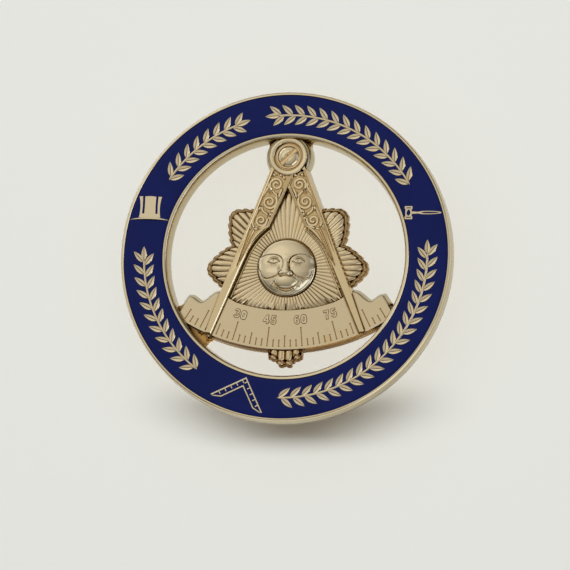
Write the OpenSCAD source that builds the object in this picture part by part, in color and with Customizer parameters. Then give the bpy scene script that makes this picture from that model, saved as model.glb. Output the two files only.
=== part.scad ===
// Round lapel pin. A gilt ring holds a blue enamel band with raised gold figures.
// Inside it, compasses stand over a quadrant scale and a rayed sun with a face.
// The pin lies face up on its clutch. Millimetres, +Z up, +Y towards the top of the emblem.
// The origin is under the centre of the ring, on the surface that the clutch rests on.

/* [Ring] */
// Outer diameter of the ring
ring_d = 25.4; // [25.2:0.05:25.6]
// Thickness of the ring, from its back to its face
ring_t = 1.5; // [1.4:0.05:1.8]
// Radius of the opening inside the ring
opening_r = 9; // [8.95:0.01:9.05]
// Inner radius of the enamel band
band_in_r = 9.45; // [9.4:0.01:9.5]
// Outer radius of the enamel band
band_out_r = 12.43; // [12.38:0.01:12.46]
// Depth of the enamel band
enamel_t = 0.45; // [0.3:0.05:0.6]
// Thickness of the three lugs that carry the emblem
lug_t = 0.45; // [0.3:0.01:0.45]

/* [Sun and star] */
// Height of the sun's centre above the centre of the ring
sun_y = -0.76; // [-0.86:0.02:-0.66]
// Radius of the sun's face
sun_r = 2.2; // [2.1:0.02:2.25]
// Number of rays
ray_count = 72; // [64:8:80]
// Longest ray, from the sun's centre
star_r = 6.1; // [5.9:0.05:6.2]
// How much a ray loses for each degree away from a point of the star
star_fall = 0.0775; // [0.07:0.0005:0.08]
// Length of the two rays in the middle of the bottom point
foot_r = 7.5; // [7.3:0.05:7.6]

/* [Compasses and quadrant] */
// Height of the hinge's centre above the centre of the ring
hinge_y = 7.75; // [7.7:0.01:7.8]
// Radius of the hinge's moulded rim
hinge_r = 1.45; // [1.4:0.01:1.47]
// Radius of the quadrant's lower edge, about the hinge
scale_out_r = 14.75; // [14.7:0.01:14.8]
// Radius of the quadrant's upper edge between the legs
scale_in_r = 11.8; // [11.75:0.01:11.85]
// Depth of the scale's marks
mark_depth = 0.1; // [0.05:0.01:0.15]

/* [Clutch] */
// Height of the ring's back above the resting surface
stand_h = 5.2; // [5:0.1:6]
// Diameter of the clutch
clutch_d = 8; // [7.4:0.1:8.4]
// Diameter of the post
post_d = 1.2; // [1:0.05:1.4]

/* [Hidden] */
$fn = 96;

// Space left between neighbouring pieces
gap = 0.02;
// Overlap of shapes that are one piece
lap = 0.05;
gold = [0.76, 0.68, 0.5];
navy = [0.13, 0.15, 0.35];
steel = [0.7, 0.68, 0.6];

ring_r = ring_d / 2;
face_z = stand_h + ring_t;
floor_z = face_z - enamel_t;
enamel_top_z = face_z - 0.02;
// Heights of the emblem's levels above the ring's back
star_h = 0.55;
ray_h = 0.7;
bed_h = 0.45;
scale_h = 0.85;
leg_foot_h = 0.72;
panel_h = 1.03;
leg_h = 1.15;
hinge_h = 1.2;
// Width of the ring's edge mouldings
edge_w = 0.08;

function pol(r, a) = [r * cos(a), r * sin(a)];
function flip(p) = [for (q = p) [-q[0], q[1]]];
function back(p) = [for (i = [len(p) - 1:-1:0]) p[i]];
function arc_pts(c, r, a0, a1, n) = [for (i = [0:n]) c + pol(r, a0 + (a1 - a0) * i / n)];
function bend(a, b, c, n) = [for (i = [0:n]) let (t = i / n)
    a * (1 - t) * (1 - t) + b * 2 * t * (1 - t) + c * t * t];

// Raised figures on the band. grow widens a figure for its pocket in the enamel.

// Top hat: half-widths of the crown at its base, waist and top
hat_pos = [-10.52, 2.95];
hat_turn = -2;
hat_half = [0.84, 0.76, 0.88];
hat_low = 0.06;
hat_high = 1.72;
brim_half = 1.47;
hat_slot_x = 0.51;
hat_slot_w = 0.15;
function hat_side(t) = hat_half[0] * (1 - t) * (1 - 2 * t) + hat_half[1] * 4 * t * (1 - t)
    + hat_half[2] * t * (2 * t - 1);
module hat_crown(grow) {
    side = [for (i = [0:6]) [hat_side(i / 6) + grow, hat_low + (hat_high - hat_low) * i / 6 + grow * (i / 3 - 1)]];
    polygon(concat(side, flip(back(side))));
}
module hat_brim(grow) {
    top = [for (i = [-6:6]) [(brim_half + grow) * i / 6, 0.14 - 0.22 * pow(i / 6, 2) + grow]];
    low = [for (i = [6:-1:-6]) [(brim_half + grow) * i / 6, -0.05 - 0.06 * pow(i / 6, 2) - grow]];
    polygon(concat(top, low));
}
module hat(grow) {
    translate(hat_pos) rotate(hat_turn) {
        difference() {
            hat_crown(grow);
            for (s = [-1, 1]) translate([s * hat_slot_x - hat_slot_w / 2 + grow, 0.38 + grow])
                square([hat_slot_w - 2 * grow, 2]);
        }
        hat_brim(grow);
    }
}

// Gavel lying across the band, its handle outwards
gavel_pos = [9.36, 3.28];
gavel_line = 0.1;
module gavel(grow) {
    handle = [[0.2, 0.1], [0.62, 0.065], [1.1, 0.125], [1.7, 0.13], [2.4, 0.09], [2.53, 0.02]];
    upper = [for (q = handle) [q[0] + (q[0] > 2.5 ? grow : 0), q[1] + grow]];
    lower = [for (q = back(upper)) [q[0], -q[1]]];
    translate(gavel_pos) {
        difference() {
            square([0.5 + 2 * grow, 0.6 + 2 * grow], center = true);
            square([0.5 - 2 * gavel_line - 2 * grow, 0.42 - 2 * grow], center = true);
        }
        for (s = [-1, 1]) translate([0, s * 0.39]) square([0.6 + 2 * grow, 0.24 + 2 * grow], center = true);
        polygon(concat(upper, lower));
    }
}

// Set square with a stepped edge. along is one arm's length and wide its width.
square_pos = [-2.74, -9.27];
square_turn = 204.8;
square_line = 0.11;
module square_outline(inset) {
    along = 3.04 - inset;
    wide = 0.56 - inset;
    arm = [[along, inset], [along - 0.16, 0.26 - inset / 3], [2.39 - inset / 3, wide], [wide, wide]];
    other = [for (i = [2:-1:0]) [arm[i][1], arm[i][0]]];
    polygon(concat([[inset, inset]], arm, other));
}
module square_ticks(grow) {
    for (i = [0:4]) translate([0.374 + 0.493 * i - 0.05 - grow, 0]) square([0.1 + 2 * grow, 0.34 + grow]);
}
module set_square(grow) {
    translate(square_pos) rotate(square_turn) {
        difference() {
            square_outline(-grow);
            square_outline(square_line + grow);
        }
        square_ticks(grow);
        mirror([1, -1]) square_ticks(grow);
    }
}

// Leaf sprigs along the band: start angle, end angle, pairs of leaves
stem_r = 10.86;
stem_w = 0.16;
leaf_len = 1.1;
leaf_w = 0.46;
leaf_lean = 40;
SPRIGS = [[147, 109, 8], [30, 96, 14], [233, 179, 11], [268, 363, 20]];
module leaf(grow) {
    side = [for (i = [0:5]) [leaf_len * i / 5 + grow * (i / 2.5 - 1), (leaf_w / 2) * sin(180 * pow(i / 5, 0.8)) + grow]];
    polygon(concat(side, [for (q = back(side)) [q[0], -q[1]]]));
}
module sprig_leaves(s, grow) {
    step = (s[1] - s[0]) / s[2];
    heading = step > 0 ? 90 : -90;
    for (i = [0:s[2] - 1]) for (side = [-1, 1])
        rotate(s[0] + step * (i + 0.25 + side * 0.12)) translate([stem_r + side * 0.1, 0])
            rotate(heading - side * sign(step) * leaf_lean) leaf(grow);
    rotate(s[1] - 0.5 * step) translate([stem_r, 0]) rotate(heading) leaf(grow);
}
module sprig_stem(s, grow) {
    from = min(s[0], s[1]);
    rotate(from - grow * 5) rotate_extrude(angle = abs(s[1] - s[0]) + grow * 10)
        translate([stem_r - stem_w / 2 - grow, 0]) square([stem_w + 2 * grow, enamel_t + lap]);
}
module figures(grow) {
    translate([0, 0, floor_z - lap]) {
        linear_extrude(enamel_t + lap) hat(grow);
        linear_extrude(enamel_t + lap) gavel(grow);
        linear_extrude(enamel_t + lap) set_square(grow);
        for (s = SPRIGS) {
            linear_extrude(enamel_t + lap) sprig_leaves(s, grow);
            sprig_stem(s, grow);
        }
    }
}

// Lugs that bridge from the ring to the emblem: start and end angles of the two side ones
LUGS = [[203.5, 227], [322, 336.5]];
lug_in_r = 7.1;
top_lug_half = 1.62;
top_lug_low = 6.6;
module side_lugs() {
    for (l = LUGS) rotate(l[0]) rotate_extrude(angle = l[1] - l[0])
        translate([lug_in_r, 0]) square([opening_r + 0.2 - lug_in_r, lug_t]);
}
// Where the star's bed stops short of a side lug and of the quadrant's end beyond it
LUG_ROOM = [[195, 227.2], [321.8, 345]];
module lug_room() {
    for (l = LUG_ROOM) rotate(l[0]) rotate_extrude(angle = l[1] - l[0])
        translate([lug_in_r - gap, -1]) square([3, 3]);
}
module top_lug(grow, high) {
    intersection() {
        translate([-top_lug_half - grow, top_lug_low - grow, 0]) cube([2 * top_lug_half + 2 * grow, 4, high]);
        translate([0, 0, -1]) cylinder(r = opening_r + 0.2, h = 4);
    }
}

module ring_frame() {
    color(gold) {
        translate([0, 0, stand_h]) rotate_extrude(convexity = 4) polygon([
            [opening_r, edge_w], [opening_r + edge_w, 0], [ring_r - edge_w, 0], [ring_r, edge_w],
            [ring_r - 0.05, ring_t - edge_w], [ring_r - 0.05 - edge_w, ring_t], [band_out_r, ring_t],
            [band_out_r, ring_t - enamel_t], [band_in_r, ring_t - enamel_t], [band_in_r, ring_t],
            [opening_r + 0.18 + edge_w, ring_t], [opening_r + 0.18, ring_t - edge_w]]);
        figures(0);
        translate([0, 0, stand_h]) {
            side_lugs();
            top_lug(0, lug_t);
        }
    }
}

module enamel_band() {
    color(navy) difference() {
        translate([0, 0, floor_z + gap]) difference() {
            cylinder(r = band_out_r - gap, h = enamel_top_z - floor_z - gap);
            translate([0, 0, -1]) cylinder(r = band_in_r + gap, h = 3);
        }
        figures(gap);
    }
}

// Rays. A ray's length falls off evenly from the eight points of the star.
ray_step = 360 / ray_count;
ray_half = ray_step * 0.34;
sun_groove_r = sun_r + 0.1;
function off_point(a) = abs(a - 45 * round(a / 45));
function ray_tip(a) = star_r - star_fall * off_point(a);
function tip_centre(tip) = tip / (1 + tan(ray_half));
module ray(tip) {
    far = tip_centre(tip);
    polygon([pol(sun_groove_r, -ray_half), [far, -far * tan(ray_half)], [far, far * tan(ray_half)],
        pol(sun_groove_r, ray_half)]);
    translate([far, 0]) circle(r = far * tan(ray_half), $fn = 24);
}
// Outline of the star's plate, one shallow lobe behind each ray
plate_margin = 0.07;
module star_plate() {
    polygon([for (k = [0:ray_count - 1]) for (j = [-1.5, -0.5, 0.5, 1.5])
        pol(ray_tip(k * ray_step) + plate_margin - 0.045 * j * j, (k + j / 4) * ray_step)]);
}
// The long rays below the quadrant: three each side of the centre line
foot_fall = 0.1;
foot_pitch = 5;
module foot_rays() {
    for (s = [-1, 1]) for (i = [0:2]) rotate(270 + s * foot_pitch * (i + 0.5))
        ray(foot_r - foot_fall * foot_pitch * i);
}
module foot_plate() {
    for (s = [-1, 1]) for (i = [0:2]) rotate(270 + s * foot_pitch * (i + 0.5))
        polygon(concat([[4, 0]], arc_pts([foot_r - foot_fall * foot_pitch * i - 0.32, 0], 0.38, -100, 100, 8)));
}

// One leg of the compasses, the right one, from the hinge to its point
leg_out_top = [1.43, 6.6];
leg_out_knee = [4.85, -2.2];
leg_point = [[5.97, -5.45], [5.52, -5.62]];
leg_in_low = [3.09, 0.218];
leg_bend = [2.52, 1.5];
leg_shoulder = [1.385, 2.32];
leg_apex = [0, 5.365];
strip_w = 0.2;
function leg_inner() = bend(leg_in_low, leg_bend, leg_shoulder, 8);
module leg_outline() {
    polygon(concat([leg_apex, [0, hinge_y], [1.2, hinge_y], leg_out_top, leg_out_knee], leg_point, leg_inner()));
}
module leg_strip() {
    edge = leg_inner();
    side = [for (i = [0:8]) edge[i] - [strip_w * (1 - pow(i / 8, 4)), 0]];
    polygon(concat([[4.4, -2.4]], [for (q = edge) q + [0.12, 0]], back(side), [[4.06, -2.35]]));
}
// The quadrant's outline: lower arc, the two ogee ends, and the upper arc between the legs
hinge_c = [0, hinge_y];
scale_half = 34;
leg_side = 20;
end_corner = [7.27, -3.02];
module quadrant_outline(grow) {
    right = concat([hinge_c + pol(scale_out_r + grow, 270 + scale_half)], [end_corner + [grow, grow]],
        arc_pts([6.45, -2.58], 0.79 - grow, 320, 223, 8), arc_pts([5.3, -3.4], 0.72 + grow, 40, 100, 6));
    lower = arc_pts(hinge_c, scale_out_r + grow, 270 - scale_half, 270 + scale_half, 48);
    upper = arc_pts(hinge_c, scale_in_r - grow, 270 + leg_side, 270 - leg_side, 32);
    intersection() {
        polygon(concat(lower, right, upper, flip(back(right))));
        circle(r = opening_r - gap);
    }
}

screw_r = 0.95;
screw_hole_r = 0.4;
module sunburst() {
    color(gold) translate([0, 0, stand_h]) difference() {
        union() {
            translate([0, sun_y, 0]) {
                linear_extrude(star_h) star_plate();
                linear_extrude(bed_h) foot_plate();
                linear_extrude(ray_h) for (k = [0:ray_count - 1])
                    if (abs(k * ray_step - 270) > 30) rotate(k * ray_step) ray(ray_tip(k * ray_step));
                linear_extrude(ray_h) for (k = [0:ray_count - 1])
                    if (abs(k * ray_step - 270) <= 30) rotate(k * ray_step) ray(3.6);
                linear_extrude(bed_h + 0.16) foot_rays();
            }
            linear_extrude(leg_foot_h) for (s = [0, 1]) mirror([s, 0]) leg_outline();
            linear_extrude(bed_h) quadrant_outline(0);
            translate([0, hinge_y, 0]) cylinder(r = 1.8, h = leg_foot_h);
        }
        translate([0, 0, bed_h]) linear_extrude(1) quadrant_outline(gap);
        translate([0, sun_y, bed_h - 0.05]) cylinder(r = sun_r + gap, h = 1);
        translate([0, hinge_y, 0]) cylinder(r = screw_hole_r, h = 1);
        translate([0, hinge_y, -1]) difference() {
            cylinder(r = 4, h = 4);
            translate([0, -hinge_y, -1]) cylinder(r = opening_r - gap, h = 6);
        }
        lug_room();
        translate([0, 0, -lap]) top_lug(gap, lug_t + lap + gap);
    }
}

// Marks of the scale: six steps between numbers, the middle one longer, the numbered one longest
mark_step = 10.6 / 6;
mark_out_r = 14.56;
mark_w = 0.07;
function mark_len(i) = i % 6 == 3 ? 1.45 : i % 6 == 0 ? 0.9 : 0.56;
// Numbers on the scale, drawn with strokes in a box one unit high: centre, size, then each stroke
digit_h = 0.72;
digit_w = 0.46;
digit_line = 0.12;
digit_rise = 0.04;
digit_r = 12.42;
digit_pitch = 0.54;
module bar(a, b) {
    d = b - a;
    translate(a) rotate(atan2(d[1], d[0])) translate([-digit_line / 2, -digit_line / 2])
        square([norm(d) + digit_line, digit_line]);
}
module curl(c, r, a0, a1) {
    polygon(concat(arc_pts(c, r + digit_line / 2, a0, a1, 12), arc_pts(c, r - digit_line / 2, a1, a0, 12)));
}
module digit(n) {
    x = digit_w / 2 - digit_line / 2;
    y = digit_h / 2 - digit_line / 2;
    if (n == 0) for (s = [0, 180]) rotate(s) {
        curl([0, y - x], x, 0, 180);
        bar([x, y - x], [x, x - y]);
    }
    if (n == 3) for (s = [-1, 1]) curl([0, s * y / 2], y / 2 + 0.01, s > 0 ? -90 : -160, s > 0 ? 160 : 90);
    if (n == 4) {
        bar([0.07, -y], [0.07, y]);
        bar([0.07, y], [-x, -0.1]);
        bar([-x, -0.1], [x, -0.1]);
    }
    if (n == 5) {
        bar([x - 0.02, y], [-x + 0.03, y]);
        bar([-x + 0.03, y], [-x + 0.03, 0.07]);
        curl([-0.02, -0.1], y - 0.1, -140, 130);
    }
    if (n == 6) {
        curl([0, -y + x], x, 0, 360);
        bar([-x, x - y], [-x + 0.1, 0.12]);
        bar([-x + 0.1, 0.12], [0.06, y]);
    }
    if (n == 7) {
        bar([-x, y], [x, y]);
        bar([x, y], [-0.04, -y]);
    }
}
NUMBERS = [[3, 0], [4, 5], [6, 0], [7, 5]];
module quadrant() {
    color(gold) translate([0, 0, stand_h]) {
        difference() {
            translate([0, 0, bed_h + gap]) linear_extrude(scale_h - bed_h - gap) quadrant_outline(0);
            for (i = [-18:18]) translate([0, hinge_y, scale_h - mark_depth]) rotate(270 + i * mark_step)
                translate([mark_out_r - mark_len(abs(i)), -mark_w / 2]) cube([mark_len(abs(i)), mark_w, 1]);
        }
        for (i = [0:3]) translate([0, hinge_y, scale_h - lap]) rotate((i - 1.5) * 10.6) translate([0, -digit_r])
            linear_extrude(lap + digit_rise) for (j = [0, 1])
                translate([(j - 0.5) * digit_pitch, 0]) digit(NUMBERS[i][j]);
    }
}

// Scrolls on the upper panel of a leg: centre and radius
SCROLLS = [[[0.86, 5.6], 0.4], [[1.38, 4.25], 0.5], [[1.95, 2.86], 0.42]];
border_w = 0.2;
module leg_panel() {
    polygon([[0.3, 5.2], [0.3, 6.1], [1.25, 6.35], leg_out_top + [-0.15, -0.3], [2.83, 2.2], [1.8, 2.35],
        leg_shoulder + [0.12, 0.2]]);
}
module compasses() {
    color(gold) translate([0, 0, stand_h]) difference() {
        union() {
            for (s = [0, 1]) mirror([s, 0, 0]) {
                translate([0, 0, leg_foot_h + gap]) linear_extrude(panel_h - leg_foot_h - gap) leg_outline();
                translate([0, 0, panel_h - lap]) linear_extrude(leg_h - panel_h + lap) difference() {
                    leg_outline();
                    leg_panel();
                }
                for (v = SCROLLS) translate([v[0][0], v[0][1], panel_h - lap]) {
                    difference() {
                        cylinder(r = v[1], h = 0.1 + lap);
                        translate([0, 0, -1]) cylinder(r = v[1] - 0.14, h = 3);
                    }
                    cylinder(r = 0.13, h = 0.1 + lap);
                }
            }
            translate([0, 0, leg_foot_h + gap]) linear_extrude(0.14)
                for (s = [0, 1]) mirror([s, 0]) leg_strip();
            intersection() {
                translate([0, hinge_y, leg_foot_h + gap]) cylinder(r = hinge_r, h = hinge_h - leg_foot_h - gap);
                cylinder(r = opening_r + 0.06, h = hinge_h);
            }
        }
        translate([0, hinge_y, hinge_h - 0.28]) cylinder(r = screw_r + 0.06, h = 1);
        translate([0, hinge_y, 0]) cylinder(r = screw_hole_r, h = 2);
        translate([0, 0, -1]) linear_extrude(1 + scale_h + gap) quadrant_outline(gap);
    }
}

module pivot_screw() {
    head_z = hinge_h - 0.28 + gap;
    dome_h = 0.12;
    dome_r = (screw_r * screw_r + dome_h * dome_h) / (2 * dome_h);
    color(gold) translate([0, hinge_y, stand_h]) difference() {
        union() {
            translate([0, 0, head_z]) cylinder(r = screw_r, h = 0.16);
            intersection() {
                translate([0, 0, head_z + 0.16 + dome_h - dome_r]) sphere(r = dome_r);
                translate([0, 0, head_z + 0.1]) cylinder(r = screw_r, h = 1);
            }
            translate([0, 0, lug_t + 2 * gap]) cylinder(r = screw_hole_r - gap, h = head_z - lug_t);
        }
        translate([0, 0, head_z + 0.16]) rotate(45) cube([3, 0.26, 0.3], center = true);
    }
}

// The sun's face: a dome with brows, eyes, nose, cheeks, lips and chin standing on it
dome_z = 0.8;
dome_rise = 0.36;
face_ball_r = (sun_r * sun_r + dome_rise * dome_rise) / (2 * dome_rise);
function dome_at(x, y) = dome_z + dome_rise - face_ball_r + sqrt(face_ball_r * face_ball_r - x * x - y * y);
// A ball sunk into the dome so that only rise stands above it
module boss(x, y, r, rise) {
    translate([x, y, dome_at(x, y) - r + rise]) sphere(r = r, $fn = 32);
}
// A raised round line along an arc
module ridge(x, y, r, a0, a1, thick) {
    translate([x, y, dome_at(x, y - r * 0.5)]) rotate(a0) rotate_extrude(angle = a1 - a0)
        translate([r, 0]) circle(r = thick, $fn = 16);
}
module features() {
    for (s = [-1, 1]) {
        boss(s * 1.1, -0.45, 0.9, 0.08);
        boss(s * 0.95, 0.36, 0.3, 0.05);
        ridge(s * 0.95, 0.1, 0.72, s > 0 ? 50 : 60, s > 0 ? 120 : 130, 0.07);
        boss(s * 0.22, -0.62, 0.16, 0.1);
    }
    boss(0, -0.56, 0.24, 0.16);
    translate([0, -0.56, dome_at(0, -0.56) - 0.09]) rotate([-89, 0, 0]) cylinder(r1 = 0.23, r2 = 0.16, h = 1.1);
    ridge(0, -0.7, 0.62, 215, 325, 0.07);
    boss(0, -1.72, 0.5, 0.06);
}
module sun_face() {
    color(gold) translate([0, sun_y, stand_h]) intersection() {
        union() {
            cylinder(r = sun_r, h = dome_z);
            intersection() {
                translate([0, 0, dome_z + dome_rise - face_ball_r]) sphere(r = face_ball_r, $fn = 120);
                cylinder(r = sun_r, h = 3);
            }
            features();
        }
        translate([0, 0, bed_h - 0.05 + gap]) cylinder(r = sun_r + lap, h = 3);
    }
}

// Post with its soldered pad, and the clutch pushed on to it, as one plain piece
pad_r = 1.7;
pad_t = 0.25;
cloth_gap = 0.8;
module pin_post() {
    top = stand_h - gap;
    rim = clutch_d / 2;
    lip = stand_h - cloth_gap;
    color(steel) rotate_extrude(convexity = 4) polygon([
        [0, 0], [rim - 0.7, 0], [rim - 0.3, 0.15], [rim - 0.12, 0.5], [rim - 0.12, 1.9], [rim - 0.5, 2.2],
        [rim - 0.5, 3.1], [rim - 0.12, 3.4], [rim, 3.7], [rim, lip - 0.25], [rim - 0.2, lip], [post_d / 2 + 0.5, lip],
        [post_d / 2, lip - 0.2], [post_d / 2, top - pad_t - 0.2], [post_d / 2 + 0.2, top - pad_t],
        [pad_r, top - pad_t], [pad_r, top], [0, top]]);
}

ring_frame();
enamel_band();
sunburst();
quadrant();
compasses();
pivot_screw();
sun_face();
pin_post();
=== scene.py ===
"""Round gilt lapel pin with a navy enamel band, seen face up on a pale table.

Every piece is modelled in millimetres, with heights counted from the ring's back, and then
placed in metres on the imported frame.
"""

import math
import random

import bmesh
import bpy
from mathutils import Matrix, Vector


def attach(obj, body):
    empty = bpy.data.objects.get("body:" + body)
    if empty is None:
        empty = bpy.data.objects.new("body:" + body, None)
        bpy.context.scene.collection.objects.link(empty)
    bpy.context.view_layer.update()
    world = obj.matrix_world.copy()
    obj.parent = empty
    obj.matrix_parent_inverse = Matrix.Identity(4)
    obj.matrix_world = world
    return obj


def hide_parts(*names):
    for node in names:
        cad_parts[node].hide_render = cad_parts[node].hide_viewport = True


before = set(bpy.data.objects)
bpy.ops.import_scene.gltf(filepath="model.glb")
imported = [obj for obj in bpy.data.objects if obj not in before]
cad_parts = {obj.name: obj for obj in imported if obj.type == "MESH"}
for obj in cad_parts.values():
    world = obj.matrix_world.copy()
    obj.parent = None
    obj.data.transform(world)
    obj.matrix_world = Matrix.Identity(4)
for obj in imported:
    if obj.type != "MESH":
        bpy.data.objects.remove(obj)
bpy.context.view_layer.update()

TAU = 2 * math.pi
# Edges that turn by more than this stay sharp
SHARP_DEG = 26

# Sizes are in mm, and heights are counted from the ring's back, which lies BACK_Z above the table.
BACK_Z = 5.2
TOP_Z = 1.5
BAND_IN_R, BAND_OUT_R = 9.45, 12.43
SUN_Y = -0.76
SUN = (0, SUN_Y)
SUN_R = 2.2
HINGE_Y = 7.75
HINGE = (0, HINGE_Y)
SCALE_OUT_R = 14.81
SCALE_IN_R = 11.8
SCALE_Z = 0.85
LEG_Z = 1.15


# ---------------------------------------------------------------- outlines

def polar(r, deg, centre=(0.0, 0.0)):
    """The point at this distance and angle from a centre."""
    a = math.radians(deg)
    return (centre[0] + r * math.cos(a), centre[1] + r * math.sin(a))


def arc(centre, r, a0, a1, steps):
    """Points along a circle."""
    return [polar(r, a0 + (a1 - a0) * i / steps, centre) for i in range(steps + 1)]


def curve_through(points, steps):
    """A smooth line through the points, with so many steps between neighbours."""
    p = [Vector(q) for q in points]
    p = [2 * p[0] - p[1]] + p + [2 * p[-1] - p[-2]]
    line = []
    for k in range(1, len(p) - 2):
        a, b, c, d = p[k - 1:k + 3]
        for i in range(steps):
            t = i / steps
            line.append(tuple(0.5 * (2 * b + (c - a) * t + (2 * a - 5 * b + 4 * c - d) * t * t
                                     + (3 * b - a - 3 * c + d) * t ** 3)))
    line.append(tuple(p[-2]))
    return line


def flipped(points):
    """The outline's other half: mirrored left to right, in the opposite order."""
    return [(-x, y) for x, y in reversed(points)]


def area(points):
    """The outline's area; below zero where it runs clockwise."""
    return sum(a[0] * b[1] - b[0] * a[1] for a, b in zip(points, points[1:] + points[:1])) / 2


def grown(points, by):
    """The outline moved outwards by so much."""
    n, sign = len(points), 1 if area(points) > 0 else -1
    out = []
    for i, q in enumerate(points):
        before, after = Vector(points[i - 1]), Vector(points[(i + 1) % n])
        here = Vector(q)
        d0, d1 = (here - before).normalized(), (after - here).normalized()
        normal = Vector((d0.y + d1.y, -d0.x - d1.x)) * sign
        mitre = min(1 / max(0.35, normal.length / 2), 2.0)
        out.append(tuple(here + normal.normalized() * by * mitre))
    return out


def smoothstep(t):
    """Eases from 0 to 1 as t goes from 0 to 1."""
    t = max(0.0, min(1.0, t))
    return t * t * (3 - 2 * t)


def placed(points, at, turn):
    """The outline turned by so many degrees and moved to its place."""
    c, s = math.cos(math.radians(turn)), math.sin(math.radians(turn))
    return [(at[0] + x * c - y * s, at[1] + x * s + y * c) for x, y in points]


# ------------------------------------------------------------ mesh building

def new_shape():
    """An empty mesh whose corners can remember their place in an outline."""
    bm = bmesh.new()
    bm.verts.layers.int.new("spot")
    return bm


def loop_corners(bm, loop, z, first=0):
    """Makes a loop's corners at one height."""
    spot = bm.verts.layers.int["spot"]
    corners = []
    for i, (x, y) in enumerate(loop):
        v = bm.verts.new((x, y, z))
        v[spot] = first + i
        corners.append(v)
    return corners


def set_z(faces, z):
    """Puts flat faces at a height."""
    for v in {v for f in faces for v in f.verts}:
        v.co.z = z


def soften(bm, faces, z_high, size, steps=2):
    """Rounds the edge of a flat top; the top starts at z_high - size."""
    bm.normal_update()
    for i in range(steps):
        a0, a1 = math.pi / 2 * i / steps, math.pi / 2 * (i + 1) / steps
        bmesh.ops.inset_region(bm, faces=faces, thickness=size * (math.cos(a0) - math.cos(a1)),
                               depth=0, use_boundary=True, use_even_offset=True)
        set_z(faces, z_high - size * (1 - math.sin(a1)))
    # the flat top keeps its own shading, so that it doesn't look padded
    inside = set(faces)
    for e in {e for f in faces for e in f.edges}:
        if any(f not in inside for f in e.link_faces):
            e.smooth = False


def lifted(bm, faces, walls):
    """Raises flat faces into a solid. walls gives, from the base up, (outline, z) for each level."""
    spot = bm.verts.layers.int["spot"]
    for level, (outline, z) in enumerate(walls):
        if level:
            below = faces
            made = bmesh.ops.extrude_face_region(bm, geom=faces)["geom"]
            faces = [g for g in made if isinstance(g, bmesh.types.BMFace)]
            if level > 1:
                bmesh.ops.delete(bm, geom=[f for f in below if f.is_valid], context="FACES")
        for v in {v for f in faces for v in f.verts}:
            v.co.xy = outline[v[spot]]
            v.co.z = z
    return faces


def plate(bm, outline, z_low, z_high, draft=0.0, edge=0.03, steps=2):
    """A flat solid whose top has this outline, with leaning walls and a softened top edge."""
    base = grown(outline, draft) if draft else list(outline)
    face = bm.faces.new(loop_corners(bm, base, z_low))
    top = lifted(bm, [face], [(base, z_low), (outline, z_high - edge)])
    if edge:
        soften(bm, top, z_high, edge, steps)
    return top


def filled(bm, loops, z):
    """Flat faces between an outer loop and the loops inside it; gives the faces and the loops' corners."""
    edges, corners = [], []
    for loop in loops:
        verts = loop_corners(bm, loop, z, sum(len(c) for c in corners))
        corners.append(verts)
        edges += [bm.edges.new((verts[i - 1], verts[i])) for i in range(len(verts))]
    made = bmesh.ops.triangle_fill(bm, edges=edges, use_beauty=True, use_dissolve=False)
    return [g for g in made["geom"] if isinstance(g, bmesh.types.BMFace)], corners


def mapped_grid(bm, columns, rows, place):
    """A grid whose corners are moved by place(i, j)."""
    verts = bmesh.ops.create_grid(bm, x_segments=columns, y_segments=rows, size=0.5)["verts"]
    for v in verts:
        v.co = place(round((v.co.x + 0.5) * columns), round((v.co.y + 0.5) * rows))
    bmesh.ops.remove_doubles(bm, verts=verts, dist=1e-4)


def turned(bm, profile, steps, centre=(0.0, 0.0), closed=True, start=0.0, sweep=360.0):
    """A turned shape: profile points are (radius, z)."""
    a = math.radians(start)
    at = Vector((centre[0], centre[1], 0))
    verts = [bm.verts.new(at + Vector((r * math.cos(a), r * math.sin(a), z))) for r, z in profile]
    edges = [bm.edges.new((p, q)) for p, q in zip(verts, verts[1:])]
    if closed:
        edges.append(bm.edges.new((verts[-1], verts[0])))
    full = sweep >= 360
    bmesh.ops.spin(bm, geom=verts + edges, cent=at, axis=(0, 0, 1), angle=math.radians(sweep),
                   steps=steps, use_merge=full, use_duplicate=False)


BEAD = [(-1.0, -0.5), (-1.0, 0.0), (-0.75, 0.62), (-0.3, 0.95), (0.3, 0.95), (0.75, 0.62), (1.0, 0.0), (1.0, -0.5)]


def bead(bm, path, half_width, height, z, closed=False, widths=None, section=BEAD, sink=0.04):
    """A raised rib along a path. widths scales it along its length, and both ends close to a point."""
    p = [Vector(q).to_2d() for q in path]
    n = len(p)
    if widths is None:
        widths = [1.0] * n
        if not closed:
            widths[0] = widths[-1] = 0.0
    columns = n if closed else n - 1
    sides = []
    for i in range(n):
        a = p[i - 1] if closed or i > 0 else p[i]
        b = p[(i + 1) % n] if closed or i < n - 1 else p[i]
        d = (b - a).normalized()
        sides.append(Vector((-d.y, d.x)))

    def place(i, j):
        """Corner i along the path and j round the section."""
        i, (across, up) = i % n, section[j % len(section)]
        w = widths[i]
        q = p[i] + sides[i] * across * half_width * w
        return (q.x, q.y, z + (up * height * min(1.0, w * 1.2) if up > 0 else 2 * up * sink))

    mapped_grid(bm, columns, len(section), place)


def knob(bm, at, r, height, z, sides=12):
    """A small domed dot."""
    profile = [(r, z - 0.05), (r, z), (r * 0.8, z + height * 0.62), (r * 0.4, z + height * 0.93), (0, z + height)]
    turned(bm, [(0, z - 0.05)] + profile, sides, at, closed=False)


def from_centre(f, y=0.0):
    """A face's middle as seen from (0, y): the point itself, its distance and its direction in degrees."""
    c = f.calc_center_median() - Vector((0, y, 0))
    return c, c.to_2d().length, math.degrees(math.atan2(c.y, c.x))


# ---------------------------------------------------------------- finishing

def link(name, data):
    """Puts a mesh, a lamp or a camera into the scene."""
    obj = bpy.data.objects.new(name, data)
    bpy.context.scene.collection.objects.link(obj)
    return obj


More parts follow.
